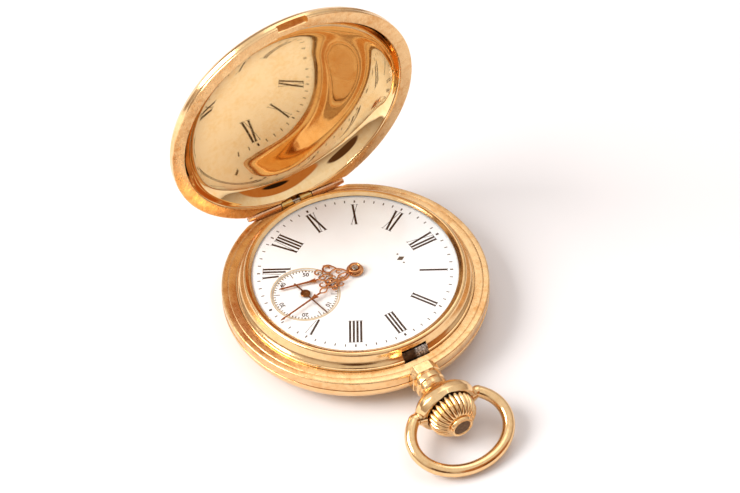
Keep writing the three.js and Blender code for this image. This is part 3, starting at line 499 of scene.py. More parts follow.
def clear_crystal():
    """Thin clear crystal: it lets light through and reflects a little more towards its edge."""
    made = Shader("crystal_glass")
    tree = made.tree
    film = made.spread(made.noise(0.4, 4), 0.3, 0.7, 0.01, 0.035)
    tree.nodes.remove(made.base)
    through = made.node("BsdfTransparent", {"Color": (0.985, 0.99, 0.99, 1)}).outputs[0]
    gloss = made.node("BsdfGlossy", {"Roughness": film}).outputs[0]
    facing = made.node("LayerWeight", {"Blend": 0.5}).outputs["Facing"]
    edge = made.math("MULTIPLY_ADD", made.math("POWER", facing, GLASS_RISE), GLASS_EDGE)
    edge.node.inputs[2].default_value = GLASS_FRONT
    mixed = made.node("MixShader", {0: edge, 1: through, 2: gloss}).outputs[0]
    tree.links.new(mixed, tree.nodes["Material Output"].inputs["Surface"])
    return made.material


nickel = ribbed_nickel()
old_steel = corroded_steel()
cap_dark = matt_cap()
enamel = white_enamel()
black_ink = ink("ink_black", (0.034, 0.014, 0.006), (0.07, 0.03, 0.014))
brown_ink = ink("ink_brown", (0.085, 0.05, 0.03), (0.15, 0.095, 0.06))
# tan print, also used for the ring of painted shade round the seconds opening
tan_ink_and_edge_shade = ink("ink_tan_and_edge_shade", (0.52, 0.36, 0.18), (0.66, 0.50, 0.30))
glass = clear_crystal()


# ---- case

HINGE_HALF = -box_mm("band_hinge_tube_left")[0].y + 0.8
HINGE_SEAT_X = -23.35
HINGE_SEAT_Z = 7.12
CATCH_LEFT = -2.2             # the nose's ends along Y: it is shorter on this side
CATCH_RIGHT = 3.05
CATCH_STEPS = 60
CATCH_PIT = 0.2               # depth of the deepest corrosion
THUMB_LUG_TURN = -47 * RAD
BACK_KNUCKLE_R = (box_mm("back_cover_knuckle")[1].z - box_mm("back_cover_knuckle")[0].z) / 2
BACK_KNUCKLE_SEAT = rod(BACK_KNUCKLE_R + 0.05, -5.05, 5.05, "y", BACK_HINGE)


def case_band():
    """Middle of the case, with its satin flange and the seats for hinge, springs, stem and knuckle."""
    profile = rounded([
        (22.9, 3.7), (24.4, 3.7), (24.4, BAND_LOW + 0.07), (CASE_R - 0.05, BAND_LOW + 0.07, 0.12),
        (CASE_R, 6.6, 0.5), (CASE_R - 0.02, FLANGE_Z, 0.38), (24.82, FLANGE_Z, 0.05),
        (24.7, FLANGE_Z - 0.07, 0.03), (24.58, FLANGE_Z, 0.05), (BEZEL_R + 0.06, FLANGE_Z, 0.05),
        (BEZEL_R + 0.06, 6.8), (21.7, 6.8), (21.7, 6.6), (22.9, 6.6),
    ])
    seat = block((-27, HINGE_SEAT_X), (-HINGE_HALF, HINGE_HALF), (HINGE_SEAT_Z, 9))
    spring_slot = block((-24.1, -21), (-0.8, 0.8), (6.25, 9))
    catch_slot = block((21, 23.2), (CATCH_LEFT - 0.12, CATCH_RIGHT + 0.12), (6.4, 9))
    stem_hole = rod(1.75, 20, 27, "x", STEM_AT)
    mesh = cut(turned(profile), seat, spring_slot, catch_slot, stem_hole, BACK_KNUCKLE_SEAT)

    def finish(centre, normal):
        return 0 if normal.z > 0.5 else 1

    finished("case_band_gold", mesh, [satin_gold, case_gold], ["case_band"], pick=finish)


def bezel():
    """Ring that holds the crystal, notched for the catch, with the lug that a thumbnail lifts."""
    cove = smooth_line([(22.72, 8.2), (22.2, 8.75), (21.85, 9.5), (21.62, 10.2)], 4)
    roll = smooth_line([(21.62, 10.2), (21.45, 10.5), (21.1, 10.7), (20.7, 10.66), (20.3, 10.42)], 3)
    foot = rounded([(22.2, 6.9), (BEZEL_R, 6.9), (BEZEL_R, 8.05, 0.2), (22.82, 8.12, 0.05)])
    inner = rounded([(20.02, 10.3, 0.04), (20.02, 10.25), (20.5, 10.25), (20.5, 8.8), (22.2, 7.5)])
    profile = foot + cove + roll[1:] + inner
    notch = block((21, 24), (CATCH_LEFT - 0.03, CATCH_RIGHT + 0.03), (6, 9.6))
    finished("bezel_gold", cut(turned(profile), notch), [bright_gold], ["bezel"])
    lug = swept([(22.72, -0.62, 8.0), (22.9, -0.3, 8.02), (22.95, 0, 8.03), (22.9, 0.3, 8.02),
                 (22.72, 0.62, 8.0)], 0.2, 0.2, 10)
    lug.moved(Matrix.Rotation(THUMB_LUG_TURN, 4, "Z"))
    finished("bezel_thumb_lug", lug, [case_gold])


def back_cover():
    """Dished cover with a flat foot, polished like a mirror inside."""
    outer = smooth_line([(11, 0), (14.5, 0.16), (18, 0.6), (21.4, 1.3), (24.2, 2.36), (25.55, 3.5),
                         (26, 4.7)], 5)
    rim = rounded([(26.04, 5.0, 0.1), (26.04, BAND_LOW - 0.01, 0.1), (25.4, BAND_LOW - 0.01), (25.3, 4.6)])
    inner = smooth_line([(25.1, 4.1), (24.1, 3.0), (21.6, 2.02), (16, 0.98), (9, 0.56), (0, 0.5)], 4)
    profile = [Vector((0, 0))] + outer + rim + inner
    pendant = rod(1.95, 24, 27, "x", STEM_AT)
    mesh = cut(turned(profile), BACK_KNUCKLE_SEAT, pendant)

    def finish(centre, normal):
        return 1 if centre.z < 4.8 and normal.z > 0.1 else 0

    finished("back_cover_gold", mesh, [bright_gold, mirror_gold], ["back_cover"], "back", pick=finish)


def inner_cover():
    """Thin cover between the back cover and the movement."""
    outer = smooth_line([(0, 1.38), (12, 1.42), (18.5, 1.95), (22.2, 2.9), (23.88, 3.16)], 5)
    inner = smooth_line([(23.88, 3.48), (22.2, 3.36), (17, 2.1), (9, 1.86), (0, 1.73)], 5)
    hinge_cut = block((-25, -23.35), (-3.2, 3.2), (2.5, 4))
    mesh = cut(turned(outer + inner), hinge_cut)
    finished("inner_cover_gold", mesh, [bright_gold], ["inner_cover"], "dust_cover", "polished_gold")


def catch():
    """Corroded catch: the spring strip with its pitted nose, which slopes down to the flange."""
    strip = turned([(21.87, 4.32), (22.33, 4.32), (22.33, 6.28), (21.87, 6.28)], FINE)
    keep = block((15, 23), (-13.6, 13.6), (4, 7))
    slope = rounded([(21.78, 5.95), (21.78, 9.2, 0.12), (22.1, 9.22, 0.2), (22.6, 8.6, 0.25),
                     (22.85, 7.9, 0.2), (22.8, 7.5, 0.1), (22.32, 7.4), (22.28, 5.95)], 3)
    half = (CATCH_RIGHT - CATCH_LEFT) / 2
    shift = (CATCH_RIGHT + CATCH_LEFT) / 2
    inwards = Vector((-0.5, 0, -0.8))
    points = []
    for i in range(CATCH_STEPS + 1):
        y = shift + half * (2 * i / CATCH_STEPS - 1)
        for x, z in slope:
            spot = Vector((x, y, z))
            pit = noise.fractal(spot * 1.7, 0.9, 2.1, 4) * CATCH_PIT
            points.append(spot + inwards * abs(pit))
    nose = lofted(points, len(slope))
    hole = rod(1.2, 21, 24, "x", STEM_AT)
    mesh = cut(combined(strip, "INTERSECT", [keep]), hole)
    finished("catch_strip", mesh, [steel], (), "lid_catch", "worn_steel")
    finished("catch_nose", cut(nose, hole), [old_steel], ["catch_spring"], "lid_catch", "worn_steel", 50)


# ---- lid and hinge

LID_RIM_Z = FLANGE_Z + 0.05
LID_STEP_R = 23.45
TO_HINGE = Matrix.Translation(LID_HINGE)
LID_TURN = TO_HINGE @ Matrix.Rotation(-LID_OPEN, 4, "Y") @ TO_HINGE.inverted()
LID_PLACE = Matrix.Scale(MM, 4) @ LID_TURN @ Matrix.Scale(1 / MM, 4)
HINGE_R = 0.8
HINGE_BORE_R = 0.36
KNUCKLE_Y = (0.88, 3.33)      # each knuckle's ends from the middle of the hinge
BAND_TUBE_Y = (3.47, 10.78)
BAND_TUBE_TAPER = 2.4


def front_lid():
    """Lid drawn shut and swung open about its hinge: mirror inside, polished outside, satin rim."""
    inner = smooth_line([(0, 12.74), (5, 12.76), (10, 12.76), (14, 12.66), (17, 12.36), (19.6, 11.72),
                         (21.4, 10.8), (22.6, 9.6), (23.2, 8.5), (LID_STEP_R - 0.1, 8.12)], 6)
    rim = rounded([(LID_STEP_R, 8.0, 0.05), (LID_STEP_R + 0.05, LID_RIM_Z, 0.06),
                   (CASE_R, LID_RIM_Z, 0.18), (CASE_R, 8.5, 0.2)])
    outer = smooth_line([(25.86, 9.2), (25.2, 10.3), (23.4, 11.5), (20, 12.5), (15, 13.1), (8, 13.42),
                         (0, 13.5)], 6)
    hinge_cut = block((-30, HINGE_SEAT_X + 0.1), (-HINGE_HALF, HINGE_HALF), (7, 8.8))
    back_trim = block((-30, -25.25), (-HINGE_HALF, HINGE_HALF), (7, 12))
    pendant = block((24.8, 30), (-3.1, 3.1), (7, 8.75))
    pocket = block((21, 23.6), (-3.25, 3.25), (7, 9.6))
    mesh = cut(turned(inner + rim + outer), hinge_cut, back_trim, pendant, pocket)

    def finish(centre, normal):
        if normal.z < -0.5 and centre.z < 8 and centre.xy.length > LID_STEP_R:
            return 1
        return 0 if normal.z < 0.05 and centre.xy.length < LID_STEP_R + 0.02 else 2

    finished("front_lid_gold", mesh, [mirror_gold, satin_gold, bright_gold], ["front_lid"], "lid",
             "polished_gold", place=LID_PLACE, pick=finish)


def tube(low, high, taper=0.0):
    """Piece of hinge tube along Y, tapering to its outer end if asked."""
    corners = [(HINGE_BORE_R, low), (HINGE_R, low, 0.1)]
    if taper:
        corners += [(HINGE_R, high - taper, 0.8), (0.5, high, 0.08)]
    else:
        corners.append((HINGE_R, high, 0.1))
    corners.append((HINGE_BORE_R, high))
    return turned(rounded(corners), SMALL, "y")


def lid_hinge():
    """The lid's two knuckles between the band's two tapered tubes."""
    for name, mirror in SIDES.items():
        knuckle = tube(*KNUCKLE_Y).moved(TO_HINGE @ mirror)
        finished(f"lid_knuckle_{name}_gold", knuckle, [knuckle_gold], [f"lid_knuckle_{name}"], "lid")
        barrel = tube(*BAND_TUBE_Y, BAND_TUBE_TAPER).moved(TO_HINGE @ mirror)
        finished(f"band_hinge_tube_{name}_gold", barrel, [hinge_gold], [f"band_hinge_tube_{name}"],
                 slot="rose_gold_hinge")


# ---- pendant, bow and crown

CUP_RIM_X = box_mm("pendant_neck")[1].x
CUP_BORE_R = 4.78
CUP_WIDER = 0.14              # the cup's swell along Y and its flattening along Z, as shares of its radius
CUP_FLATTER = 0.055
NECK_HALF = 2.88
NECK_LOW = box_mm("pendant_neck")[0].x
NECK_BLOCK_END = 27.25        # the square block below this X, the round collars above it
NECK_CORNER = 1.55            # how far the block's corners reach, as a share of its half width
EAR_BORE_R = 0.48
EAR_END_Y = 6.14
BOW_DROOP = 19.5 * RAD
BOW_HALF_WIDTH = 9.66
BOW_HALF_LENGTH = 7.5
BOW_END_Y = 6.8
BOW_STEPS = 120
BOW_WIRE_R = 1.14             # at its ends
BOW_WIRE_SWELL = 0.06
BOW_PIN_R = 0.44


def pendant_neck():
    """Square block, two collars and the cup round the crown, with an ear for each end of the bow."""
    outside = rounded([
        (0, NECK_LOW), (NECK_HALF - 0.12, NECK_LOW), (NECK_HALF, NECK_LOW + 0.15), (NECK_HALF, 27.05),
        (NECK_HALF - 0.12, 27.2), (2.7, 27.35, 0.1), (2.96, 27.6, 0.15), (2.96, 28.75, 0.15),
        (2.68, 29, 0.1), (2.88, 29.3, 0.12), (2.88, 30, 0.4), (3.0, 31.0, 0.9), (4.7, 32.2, 1.2),
        (5.35, 33.2, 0.8), (5.4, 34.3, 0.6), (4.95, CUP_RIM_X, 0.3), (4.6, CUP_RIM_X, 0.1), (0, CUP_RIM_X),
    ])

    def square(angle, r, h):
        """The base is a square block with its corners cut; the cup is wider than it is high."""
        if h < NECK_BLOCK_END and r > 2:
            across, along = abs(cos(angle)), abs(sin(angle))
            return min(1 / max(across, along), NECK_CORNER / (across + along))
        reach = min(1.0, max(0.0, (r - 2.8) / 2.2))
        return 1 + reach * ((CUP_WIDER + CUP_FLATTER) * sin(angle) ** 2 - CUP_FLATTER)

    neck = turned(outside, 2 * MEDIUM, "x", STEM_AT, square)
    case_seat = turned([(20, 0), (CASE_R + 0.1, 0), (CASE_R + 0.1, FLANGE_Z + 0.03),
                        (20, FLANGE_Z + 0.03)], FINE)
    bore = turned(rounded([(0, 24), (1.8, 24), (1.8, 32.0), (4.0, 32.1), (CUP_BORE_R, 33.05, 0.2),
                           (CUP_BORE_R, 36), (0, 36)]), MEDIUM, "x", STEM_AT)
    pivot_hole = rod(EAR_BORE_R, -7, 7, "y", BOW_PIVOT)
    mesh = cut(neck, case_seat, bore, pivot_hole)
    finished("pendant_neck_gold", mesh, [bright_gold], ["pendant_neck"], sharp=28)
    for name, mirror in SIDES.items():
        profile = rounded([(EAR_BORE_R, 4.9), (1.75, 4.9), (1.5, 5.5, 0.5), (1.3, EAR_END_Y, 0.1),
                           (EAR_BORE_R, EAR_END_Y)])
        ear = turned(profile, SMALL, "y").moved(Matrix.Translation(BOW_PIVOT) @ mirror)
        finished(f"pendant_ear_{name}", ear, [bright_gold])


def bow():
    """Open oval of wire whose ends turn in to short pins in the pendant's ears."""
    half = pi - asin(BOW_END_Y / BOW_HALF_WIDTH)
    centre = BOW_HALF_LENGTH * sqrt(1 - (BOW_END_Y / BOW_HALF_WIDTH) ** 2)
    path = []
    for i in range(BOW_STEPS + 1):
        angle = half * (2 * i / BOW_STEPS - 1)
        path.append((centre + BOW_HALF_LENGTH * cos(angle), BOW_HALF_WIDTH * sin(angle), 0))

    def thickness(share):
        """The wire swells from its ends to its middle."""
        return BOW_WIRE_R + BOW_WIRE_SWELL * sin(pi * share) ** 0.8

    ring = swept(path, thickness, thickness, 24)
    elbow = rounded([(0, 6.18), (1.17, 6.18, 0.08), (1.17, 6.9, 0.5), (1.02, 7.4, 0.4), (0.6, 7.85, 0.3),
                     (0, 7.95)])
    for mirror in SIDES.values():
        ring.join(turned(elbow, SMALL, "y"), mirror)
        ring.join(rod(BOW_PIN_R, 5.45, 6.3, "y"), mirror)
    ring.moved(Matrix.Translation(BOW_PIVOT) @ Matrix.Rotation(BOW_DROOP, 4, "Y"))
    finished("bow_gold", ring, [bright_gold], ["bow"], "bow_ring", sharp=50)


CROWN_LOW = box_mm("crown_shell")[0].x
CROWN_HIGH = box_mm("crown_shell")[1].x
CROWN_RIBS = 26
CROWN_RIB_DEPTH = 0.12        # as a share of the radius
CROWN_NOSE_R = 2.45           # the ribs run out at the ring round the cap
CROWN_BORE_R = 0.98
VALLEY = 0.28                 # share of a rib's wave painted dark as shade
CAP_RING_BORE_R = 0.2


def crown():
    """Fluted crown with a polished ring and a dark worn cap in its end."""
    swell = smooth_line([(3.8, CROWN_LOW), (4.2, 34.1), (4.5, 34.9), (4.66, 35.9), (4.64, 36.9),
                         (4.36, 37.9), (3.78, 38.7), (3.05, 39.22), (CROWN_NOSE_R, 39.42)], 5)
    profile = [Vector((CROWN_BORE_R, CROWN_LOW))] + swell
    profile += [Vector((2.3, CROWN_HIGH)), Vector((CROWN_BORE_R, CROWN_HIGH))]

    def ribs(angle, r, h):
        """Rounded ribs with narrow valleys, running out towards both ends."""
        if r < CROWN_NOSE_R:
            return 1
        lobe = abs(cos(CROWN_RIBS * angle / 2))
        reach = min(1.0, (h - CROWN_LOW) / 0.8) * min(1.0, (r - 2.3) / 0.7)
        return 1 - CROWN_RIB_DEPTH * (1 - lobe ** 0.8) * max(0.0, reach)

    def valley(centre, normal):
        """The bottoms of the valleys are painted dark as shade."""
        out = centre.yz - Vector((0, STEM_Z))
        lobe = abs(cos(CROWN_RIBS * atan2(out.x, -out.y) / 2))
        ribbed = out.length > CROWN_NOSE_R + 0.1 and centre.x > CROWN_LOW + 0.1
        return 1 if ribbed and lobe < VALLEY else 0

    shell = turned(profile, CROWN_RIBS * 12, "x", STEM_AT, ribs)
    finished("crown_gold", shell, [bright_gold, valley_shade_gold], ["crown_shell"], "crown", sharp=60,
             pick=valley)
    low, high = box_mm("crown_cap")
    profile = rounded([(CAP_RING_BORE_R, low.x + 0.02), (2.3, low.x + 0.02, 0.08),
                       (2.38, low.x + 0.35, 0.2), (2.2, high.x + 0.1, 0.2), (1.75, high.x + 0.12, 0.12),
                       (1.6, high.x - 0.1), (CAP_RING_BORE_R, high.x - 0.1)])
    ring = turned(profile, MEDIUM, "x", STEM_AT)
    finished("crown_cap_ring", ring, [bright_gold], ["crown_cap"], "crown")
    profile = rounded([(0, high.x - 0.09), (1.58, high.x - 0.09), (1.58, high.x + 0.02, 0.05),
                       (1.0, high.x + 0.05, 0.5), (0, high.x + 0.06)])
    disc = turned(profile, MEDIUM, "x", STEM_AT)
    finished("crown_cap_disc", disc, [cap_dark], (), "crown", "worn_steel")


# ---- dial

def dial_point(clock, r, u=0.0):
    """Point on the dial at a clock angle in degrees and a radius, moved clockwise by u."""
    angle = clock * RAD - DIAL_TURN
    return (r * sin(angle) + u * cos(angle), r * cos(angle) - u * sin(angle))


PRINT_HEIGHT = 0.012
PRINT_SINK = 0.004            # how far the print is bedded in the enamel
NUMERAL_IN = 12.5
NUMERAL_OUT = 17.8
STEM = 0.43
HAIRLINE = 0.1
SERIF = 0.085
SERIF_REACH = 0.16            # how far a serif passes its stroke on each side
PITCH = 0.7
TRACK_IN = 18.32
TRACK_OUT = 18.94
DIAL_THICKNESS = 0.5
DIAL_BORE_R = 1.15
SUBDIAL_R = 6.45
SUBDIAL_CLEAR = 6.95
SUBDIAL_PLATE_R = 6.9
SUBDIAL_LIP = (6.4, 9.46)     # radius and height of the step that the dial rests on
STROKE_SAMPLES = 60
FEWEST_SAMPLES = 6            # a shorter stroke than this is left out


def on_dial(name, shape, material, replaces=()):
    finished(name, shape, [material], replaces, slot="white_enamel")


def dial():
    """Enamel dial with a round opening, and the sunk seconds dial behind it."""
    subdial_at = (SECONDS_AT.x, SECONDS_AT.y, 0)
    back = DIAL_Z - DIAL_THICKNESS
    disc = rounded([(DIAL_BORE_R, back), (DIAL_R, back), (DIAL_R, DIAL_Z, 0.12),
                    (DIAL_BORE_R, DIAL_Z, 0.06)])
    opening = rod(SUBDIAL_R, DIAL_Z - 1, DIAL_Z + 1, at=subdial_at, segments=MEDIUM)
    on_dial("dial_enamel", cut(turned(disc), opening), enamel, ["dial"])
    low, high = box_mm("seconds_dial")
    lip_r, lip_z = SUBDIAL_LIP
    sunk = rounded([(0.3, low.z), (SUBDIAL_PLATE_R, low.z), (SUBDIAL_PLATE_R, lip_z), (lip_r, lip_z),
                    (lip_r, high.z, 0.1), (0.3, high.z, 0.05)])
    on_dial("seconds_dial_enamel", turned(sunk, MEDIUM, at=subdial_at), enamel, ["seconds_dial"])


def printed(outline, z):
    return extruded(outline, z - PRINT_SINK, z + PRINT_HEIGHT)


def printed_bar(start, end, width, z):
    side = (end - start).orthogonal().normalized() * width / 2
    outline = [start + side, end + side, end - side, start - side]
    if (outline[1] - outline[0]).cross(outline[2] - outline[1]) < 0:
        outline.reverse()
    return printed(outline, z)


def printed_dot(centre, r, z):
    angles = [k * FULL_TURN / DOT_SIDES for k in range(DOT_SIDES)]
    return printed([centre + Vector((r * cos(a), r * sin(a))) for a in angles], z)


def printed_ring(low, high, centre, z):
    floor_z, top_z = z - PRINT_SINK, z + PRINT_HEIGHT
    corners = [(low, floor_z), (high, floor_z), (high, top_z), (low, top_z)]
    return turned(corners, MEDIUM, at=(centre.x, centre.y, 0))


def stroke(solid, start, end, width):
    """Straight printed stroke on the dial, cut short where the seconds dial begins."""
    start, end = Vector(start), Vector(end)
    spots = [start.lerp(end, i / STROKE_SAMPLES) for i in range(STROKE_SAMPLES + 1)]
    kept = [p for p in spots if (p - SECONDS_AT.xy).length > SUBDIAL_CLEAR]
    if len(kept) >= FEWEST_SAMPLES:
        solid.join(printed_bar(kept[0], kept[-1], width, DIAL_Z))


# strokes of a Roman letter: (u at the outer end, u at the inner end, width), and the letter's width
LETTERS = {
    "I": ([(0.0, 0.0, STEM)], PITCH),
    "V": ([(-0.5, 0.12, STEM), (0.62, 0.2, HAIRLINE)], 1.35),
    "X": ([(-0.38, 0.34, STEM), (0.5, -0.58, HAIRLINE)], 1.25),
}
HOURS = {
    1: "I", 2: "II", 3: "III", 4: "IIII", 5: "V", 7: "VII", 8: "VIII", 9: "IX", 10: "X", 11: "XI",
    12: "XII",
}


def numerals():
    """Roman hours round the dial, each stroke with a thin serif at both ends."""
    ink_strokes = Solid()
    for hour, word in HOURS.items():
        widths = [LETTERS[letter][1] for letter in word]
        at = -sum(widths) / 2
        clock = hour * 30
        for letter, width in zip(word, widths):
            middle = at + width / 2
            for outer, inner, thick in LETTERS[letter][0]:
                ends = ((NUMERAL_OUT, middle + outer), (NUMERAL_IN, middle + inner))
                stroke(ink_strokes, *(dial_point(clock, r, u) for r, u in ends), thick)
                half = thick / 2 + SERIF_REACH
                for r, u in ends:
                    serif = dial_point(clock, r, u - half), dial_point(clock, r, u + half)
                    stroke(ink_strokes, *serif, SERIF)
            at += width
    on_dial("dial_numerals", ink_strokes, black_ink)


def minute_track():
    """A dash for every minute, wider at the five minutes and black at the quarters."""
    ticks, bold = Solid(), Solid()
    for minute in range(60):
        clock = minute * 6
        if minute % 15 == 0:
            stroke(bold, dial_point(clock, 18.35), dial_point(clock, 18.95), 0.42)
            continue
        wide = 0.3 if minute % 5 == 0 else 0.22
        stroke(ticks, dial_point(clock, TRACK_IN), dial_point(clock, TRACK_OUT), wide)
    on_dial("dial_minute_track", ticks, brown_ink)
    on_dial("dial_quarter_marks", bold, black_ink)


ORNAMENT_AT = Vector((1.5, 9.3))
LOZENGE = ((0.55, 0), (0, 0.85), (-0.55, 0), (0, -0.85))


def dial_ornament():
    """Small plain lozenge with a dot at each side."""
    ornament = Solid()
    ornament.join(printed([ORNAMENT_AT + Vector(p) for p in LOZENGE], DIAL_Z))
    for side in (-1, 1):
        ornament.join(printed_dot(ORNAMENT_AT + Vector((1.25 * side, 0)), 0.2, DIAL_Z))
    on_dial("dial_ornament", ornament, brown_ink)


SECONDS_DASH_OUT = 6.12
SECONDS_DASH_IN = 5.72
SECONDS_HALF_IN = 4.9         # inner end of the long dashes half way between the numerals
SECONDS_NUMERAL_R = 5.05
SECONDS_NUMERAL_SIZE = 1.25


def seconds_spot(clock, r):
    return Vector(dial_point(clock, r)) + SECONDS_AT.xy


def seconds_numeral(second):
    """Upright figures of a seconds numeral, turned with their place on the ring."""
    text = bpy.data.curves.new(f"numeral_{second}", "FONT")
    text.body = str(second)
    text.size = SECONDS_NUMERAL_SIZE * MM
    text.align_x = "CENTER"
    text.align_y = "CENTER"
    text.extrude = PRINT_HEIGHT / 2 * MM
    text.offset = 0.03 * MM
    label = linked("label", text)
    bpy.context.view_layer.update()
    graph = bpy.context.evaluated_depsgraph_get()
    mesh = bpy.data.meshes.new_from_object(label.evaluated_get(graph))
    bpy.data.objects.remove(label)
    clock = second * 6
    at = seconds_spot(clock, SECONDS_NUMERAL_R)
    place = Matrix.Translation((at.x * MM, at.y * MM, (SECONDS_Z + PRINT_HEIGHT / 2) * MM))
    mesh.transform(place @ Matrix.Rotation(DIAL_TURN - clock * RAD, 4, "Z"))
    on_dial(f"seconds_numeral_{second}", mesh, black_ink)


def seconds_track():
    """A printed tan ring on the seconds dial, a tan ring painted round the opening as the shaded edge of
    its bevel, the dashes and dots of the seconds, and a numeral at every tenth.
    """
    centre = SECONDS_AT.xy
    on_dial("seconds_ring", printed_ring(6.12, 6.3, centre, SECONDS_Z), tan_ink_and_edge_shade)
    # tan ring on the dial round the opening: painted shade of the opening's bevelled edge
    on_dial("seconds_rim_shade", printed_ring(6.5, 6.72, centre, DIAL_Z), tan_ink_and_edge_shade)
    ticks = Solid()
    for second in range(60):
        clock = second * 6
        if second % 10 == 0:
            ticks.join(printed_dot(seconds_spot(clock, 5.95), 0.19, SECONDS_Z))
            continue
        inner, wide = (SECONDS_HALF_IN, 0.15) if second % 10 == 5 else (SECONDS_DASH_IN, 0.2)
        start, end = seconds_spot(clock, SECONDS_DASH_OUT), seconds_spot(clock, inner)
        ticks.join(printed_bar(start, end, wide, SECONDS_Z))
    on_dial("seconds_ticks", ticks, brown_ink)
    for second in range(10, 61, 10):
        seconds_numeral(second)


# ---- hands

HOUR_CLOCK = 192.8            # degrees clockwise from 12
MINUTE_CLOCK = 168.1
SECONDS_CLOCK = 79.7
HOUR_LENGTH = 15.3
MINUTE_LENGTH = 19
HALF_THICKNESS = 0.07
WIRE_RISE = 0.085             # half thickness of the scrolls
LEAF_WIRE = 0.15
LEAF_STEPS = 16


def arc(centre, r0, r1, start, end, steps=18):
    """Spiral arc in the plane of the hand, from one radius and angle to another, in degrees."""
    line = []
    for i in range(steps + 1):
        t = i / steps
        r = r0 + (r1 - r0) * t
        angle = (start + (end - start) * t) * RAD
        line.append((centre[0] + r * cos(angle), centre[1] + r * sin(angle)))
    return line


def scrolled_hand(length, scrolls, leaf_from, leaf_to, leaf_half, barb, blade_half):
    """Pierced hand along +X: scrolls on both sides, an open leaf and a ridged blade with a barb."""
    hand = Solid()

    def wire(line, half):
        for side in (-1, 1):
            path = [(p[0], side * p[1], 0) for p in line]
            hand.join(swept(path, lambda t: half * (0.75 + 0.35 * sin(pi * t)), WIRE_RISE, 8))

    for line, half in scrolls:
        wire(line, half)
    shares = [i / LEAF_STEPS for i in range(LEAF_STEPS + 1)]
    leaf = [(leaf_from + (leaf_to - leaf_from) * t, leaf_half * sin(pi * t) ** 0.9 + 0.05) for t in shares]
    wire(leaf, LEAF_WIRE)
    blade = [(leaf_to - 0.2, 0.2), (barb, 0.18), (barb - 0.15, 0.62), (barb + 1.3, blade_half * 1.1),
             (length - 1.1, blade_half * 0.85), (length - 0.8, blade_half * 1.5), (length, 0.04)]
    outline = blade + [(x, -y) for x, y in reversed(blade)]
    ridge = len(outline)
    points = [(x, y, -HALF_THICKNESS) for x, y in outline] + [(x, y * 0.7, 0.05) for x, y in outline]
    faces = [tuple(range(ridge - 1, -1, -1)), tuple(range(ridge, 2 * ridge))]
    faces += [(i, (i + 1) % ridge, ridge + (i + 1) % ridge, ridge + i) for i in range(ridge)]
    hand.add(points, faces)
    return hand.moved(Matrix.Translation((0, 0, HALF_THICKNESS)))


def set_hand(node, hand, hub, clock, body, at=(0, 0), segments=MEDIUM, metal_used=copper):
    """Gives a hand drawn along +X its hub, and sets it on its arbor at a clock angle."""
    hand.join(turned(rounded(hub), segments))
    place = Matrix.Translation((at[0], at[1], box_mm(node)[0].z))
    hand.moved(place @ Matrix.Rotation((90 - clock) * RAD + DIAL_TURN, 4, "Z"))
    finished(f"{node}_copper", hand, [metal_used], [node], body, "copper_hands")


def hour_hand():
    scrolls = [
        (smooth_line([(1.5, 0.1), (2.3, 1.0), (3.5, 1.45), (4.6, 1.0), (5.1, 0.2)]), 0.19),
        (arc((5.0, 2.1), 1.15, 0.4, -140, 200, 24), 0.19),
        (arc((7.0, 1.55), 0.95, 0.35, 215, -120, 20), 0.17),
        (arc((3.2, 0.55), 0.5, 0.2, 160, -150, 16), 0.15),
        (smooth_line([(4.4, 0.1), (5.3, 0.62), (6.3, 0.7), (7.0, 0.1)]), 0.17),
        (smooth_line([(3.2, 1.4), (3.8, 2.2), (4.6, 2.9), (5.6, 3.0)]), 0.16),
    ]
    hub = [(1.0, 0), (1.65, 0, 0.06), (1.65, 0.32, 0.14), (1.0, 0.38, 0.05)]
    hour = scrolled_hand(HOUR_LENGTH, scrolls, 5.9, 7.3, 0.4, 8.0, 0.21)
    set_hand("hour_hand", hour, hub, HOUR_CLOCK, "hour_pipe")


def minute_hand():
    scrolls = [
        (smooth_line([(1.2, 0.05), (2.2, 0.6), (3.2, 0.8), (4.2, 0.4), (4.8, 0.05)]), 0.16),
        (arc((4.5, 1.1), 0.8, 0.28, -140, 210, 22), 0.15),
        (arc((6.2, 0.95), 0.66, 0.24, 205, -130, 20), 0.14),
        (smooth_line([(4.4, 0.08), (5.4, 0.4), (6.4, 0.46), (7.2, 0.06)]), 0.14),
    ]
    hub = [(0.66, 0), (1.3, 0, 0.05), (1.38, 0.2, 0.1), (1.3, 0.42, 0.12), (0.98, 0.52, 0.08),
           (0.9, 0.44, 0.05), (0.66, 0.42)]
    minute = scrolled_hand(MINUTE_LENGTH, scrolls, 7.2, 9.0, 0.5, 10.0, 0.18)
    set_hand("minute_hand", minute, hub, MINUTE_CLOCK, "minute_arbor")


def seconds_hand():
    """Thin hand with a tail and a round boss."""
    second = Solid()
    line = [(x, 0, 0.06) for x in (-3.35, -1.5, 0, 3, 6.45)]
    second.join(swept(line, lambda t: 0.19 - 0.05 * t, 0.05, 8))
    boss = [(0.18, 0), (0.95, 0, 0.04), (0.97, 0.1, 0.05), (0.85, 0.2, 0.06), (0.3, 0.22, 0.05),
            (0.18, 0.16)]
    set_hand("seconds_hand", second, boss, SECONDS_CLOCK, "seconds_arbor", SECONDS_AT, SMALL, dark_copper)


def crystal():
    """Low domed crystal with a foot that sits under the bezel's lip."""
    outer = smooth_line([(0, 12.2), (6, 12.12), (12, 11.88), (16.5, 11.58), (19.3, 11.25), (19.75, 11.0),
                         (19.92, 10.5)], 5)
    edge = [Vector(p) for p in ((19.93, 10.22), (20.4, 10.22), (20.4, 10.07), (19.6, 10.07))]
    inner = smooth_line([(19.5, 10.6), (19.2, 10.95), (16.5, 11.24), (12, 11.54), (6, 11.78),
                         (0, 11.86)], 5)
    finished("crystal_glass", turned(outer + edge + inner), [glass], ["crystal"], slot="crystal_glass")


# ---- pieces kept from the CAD, refined

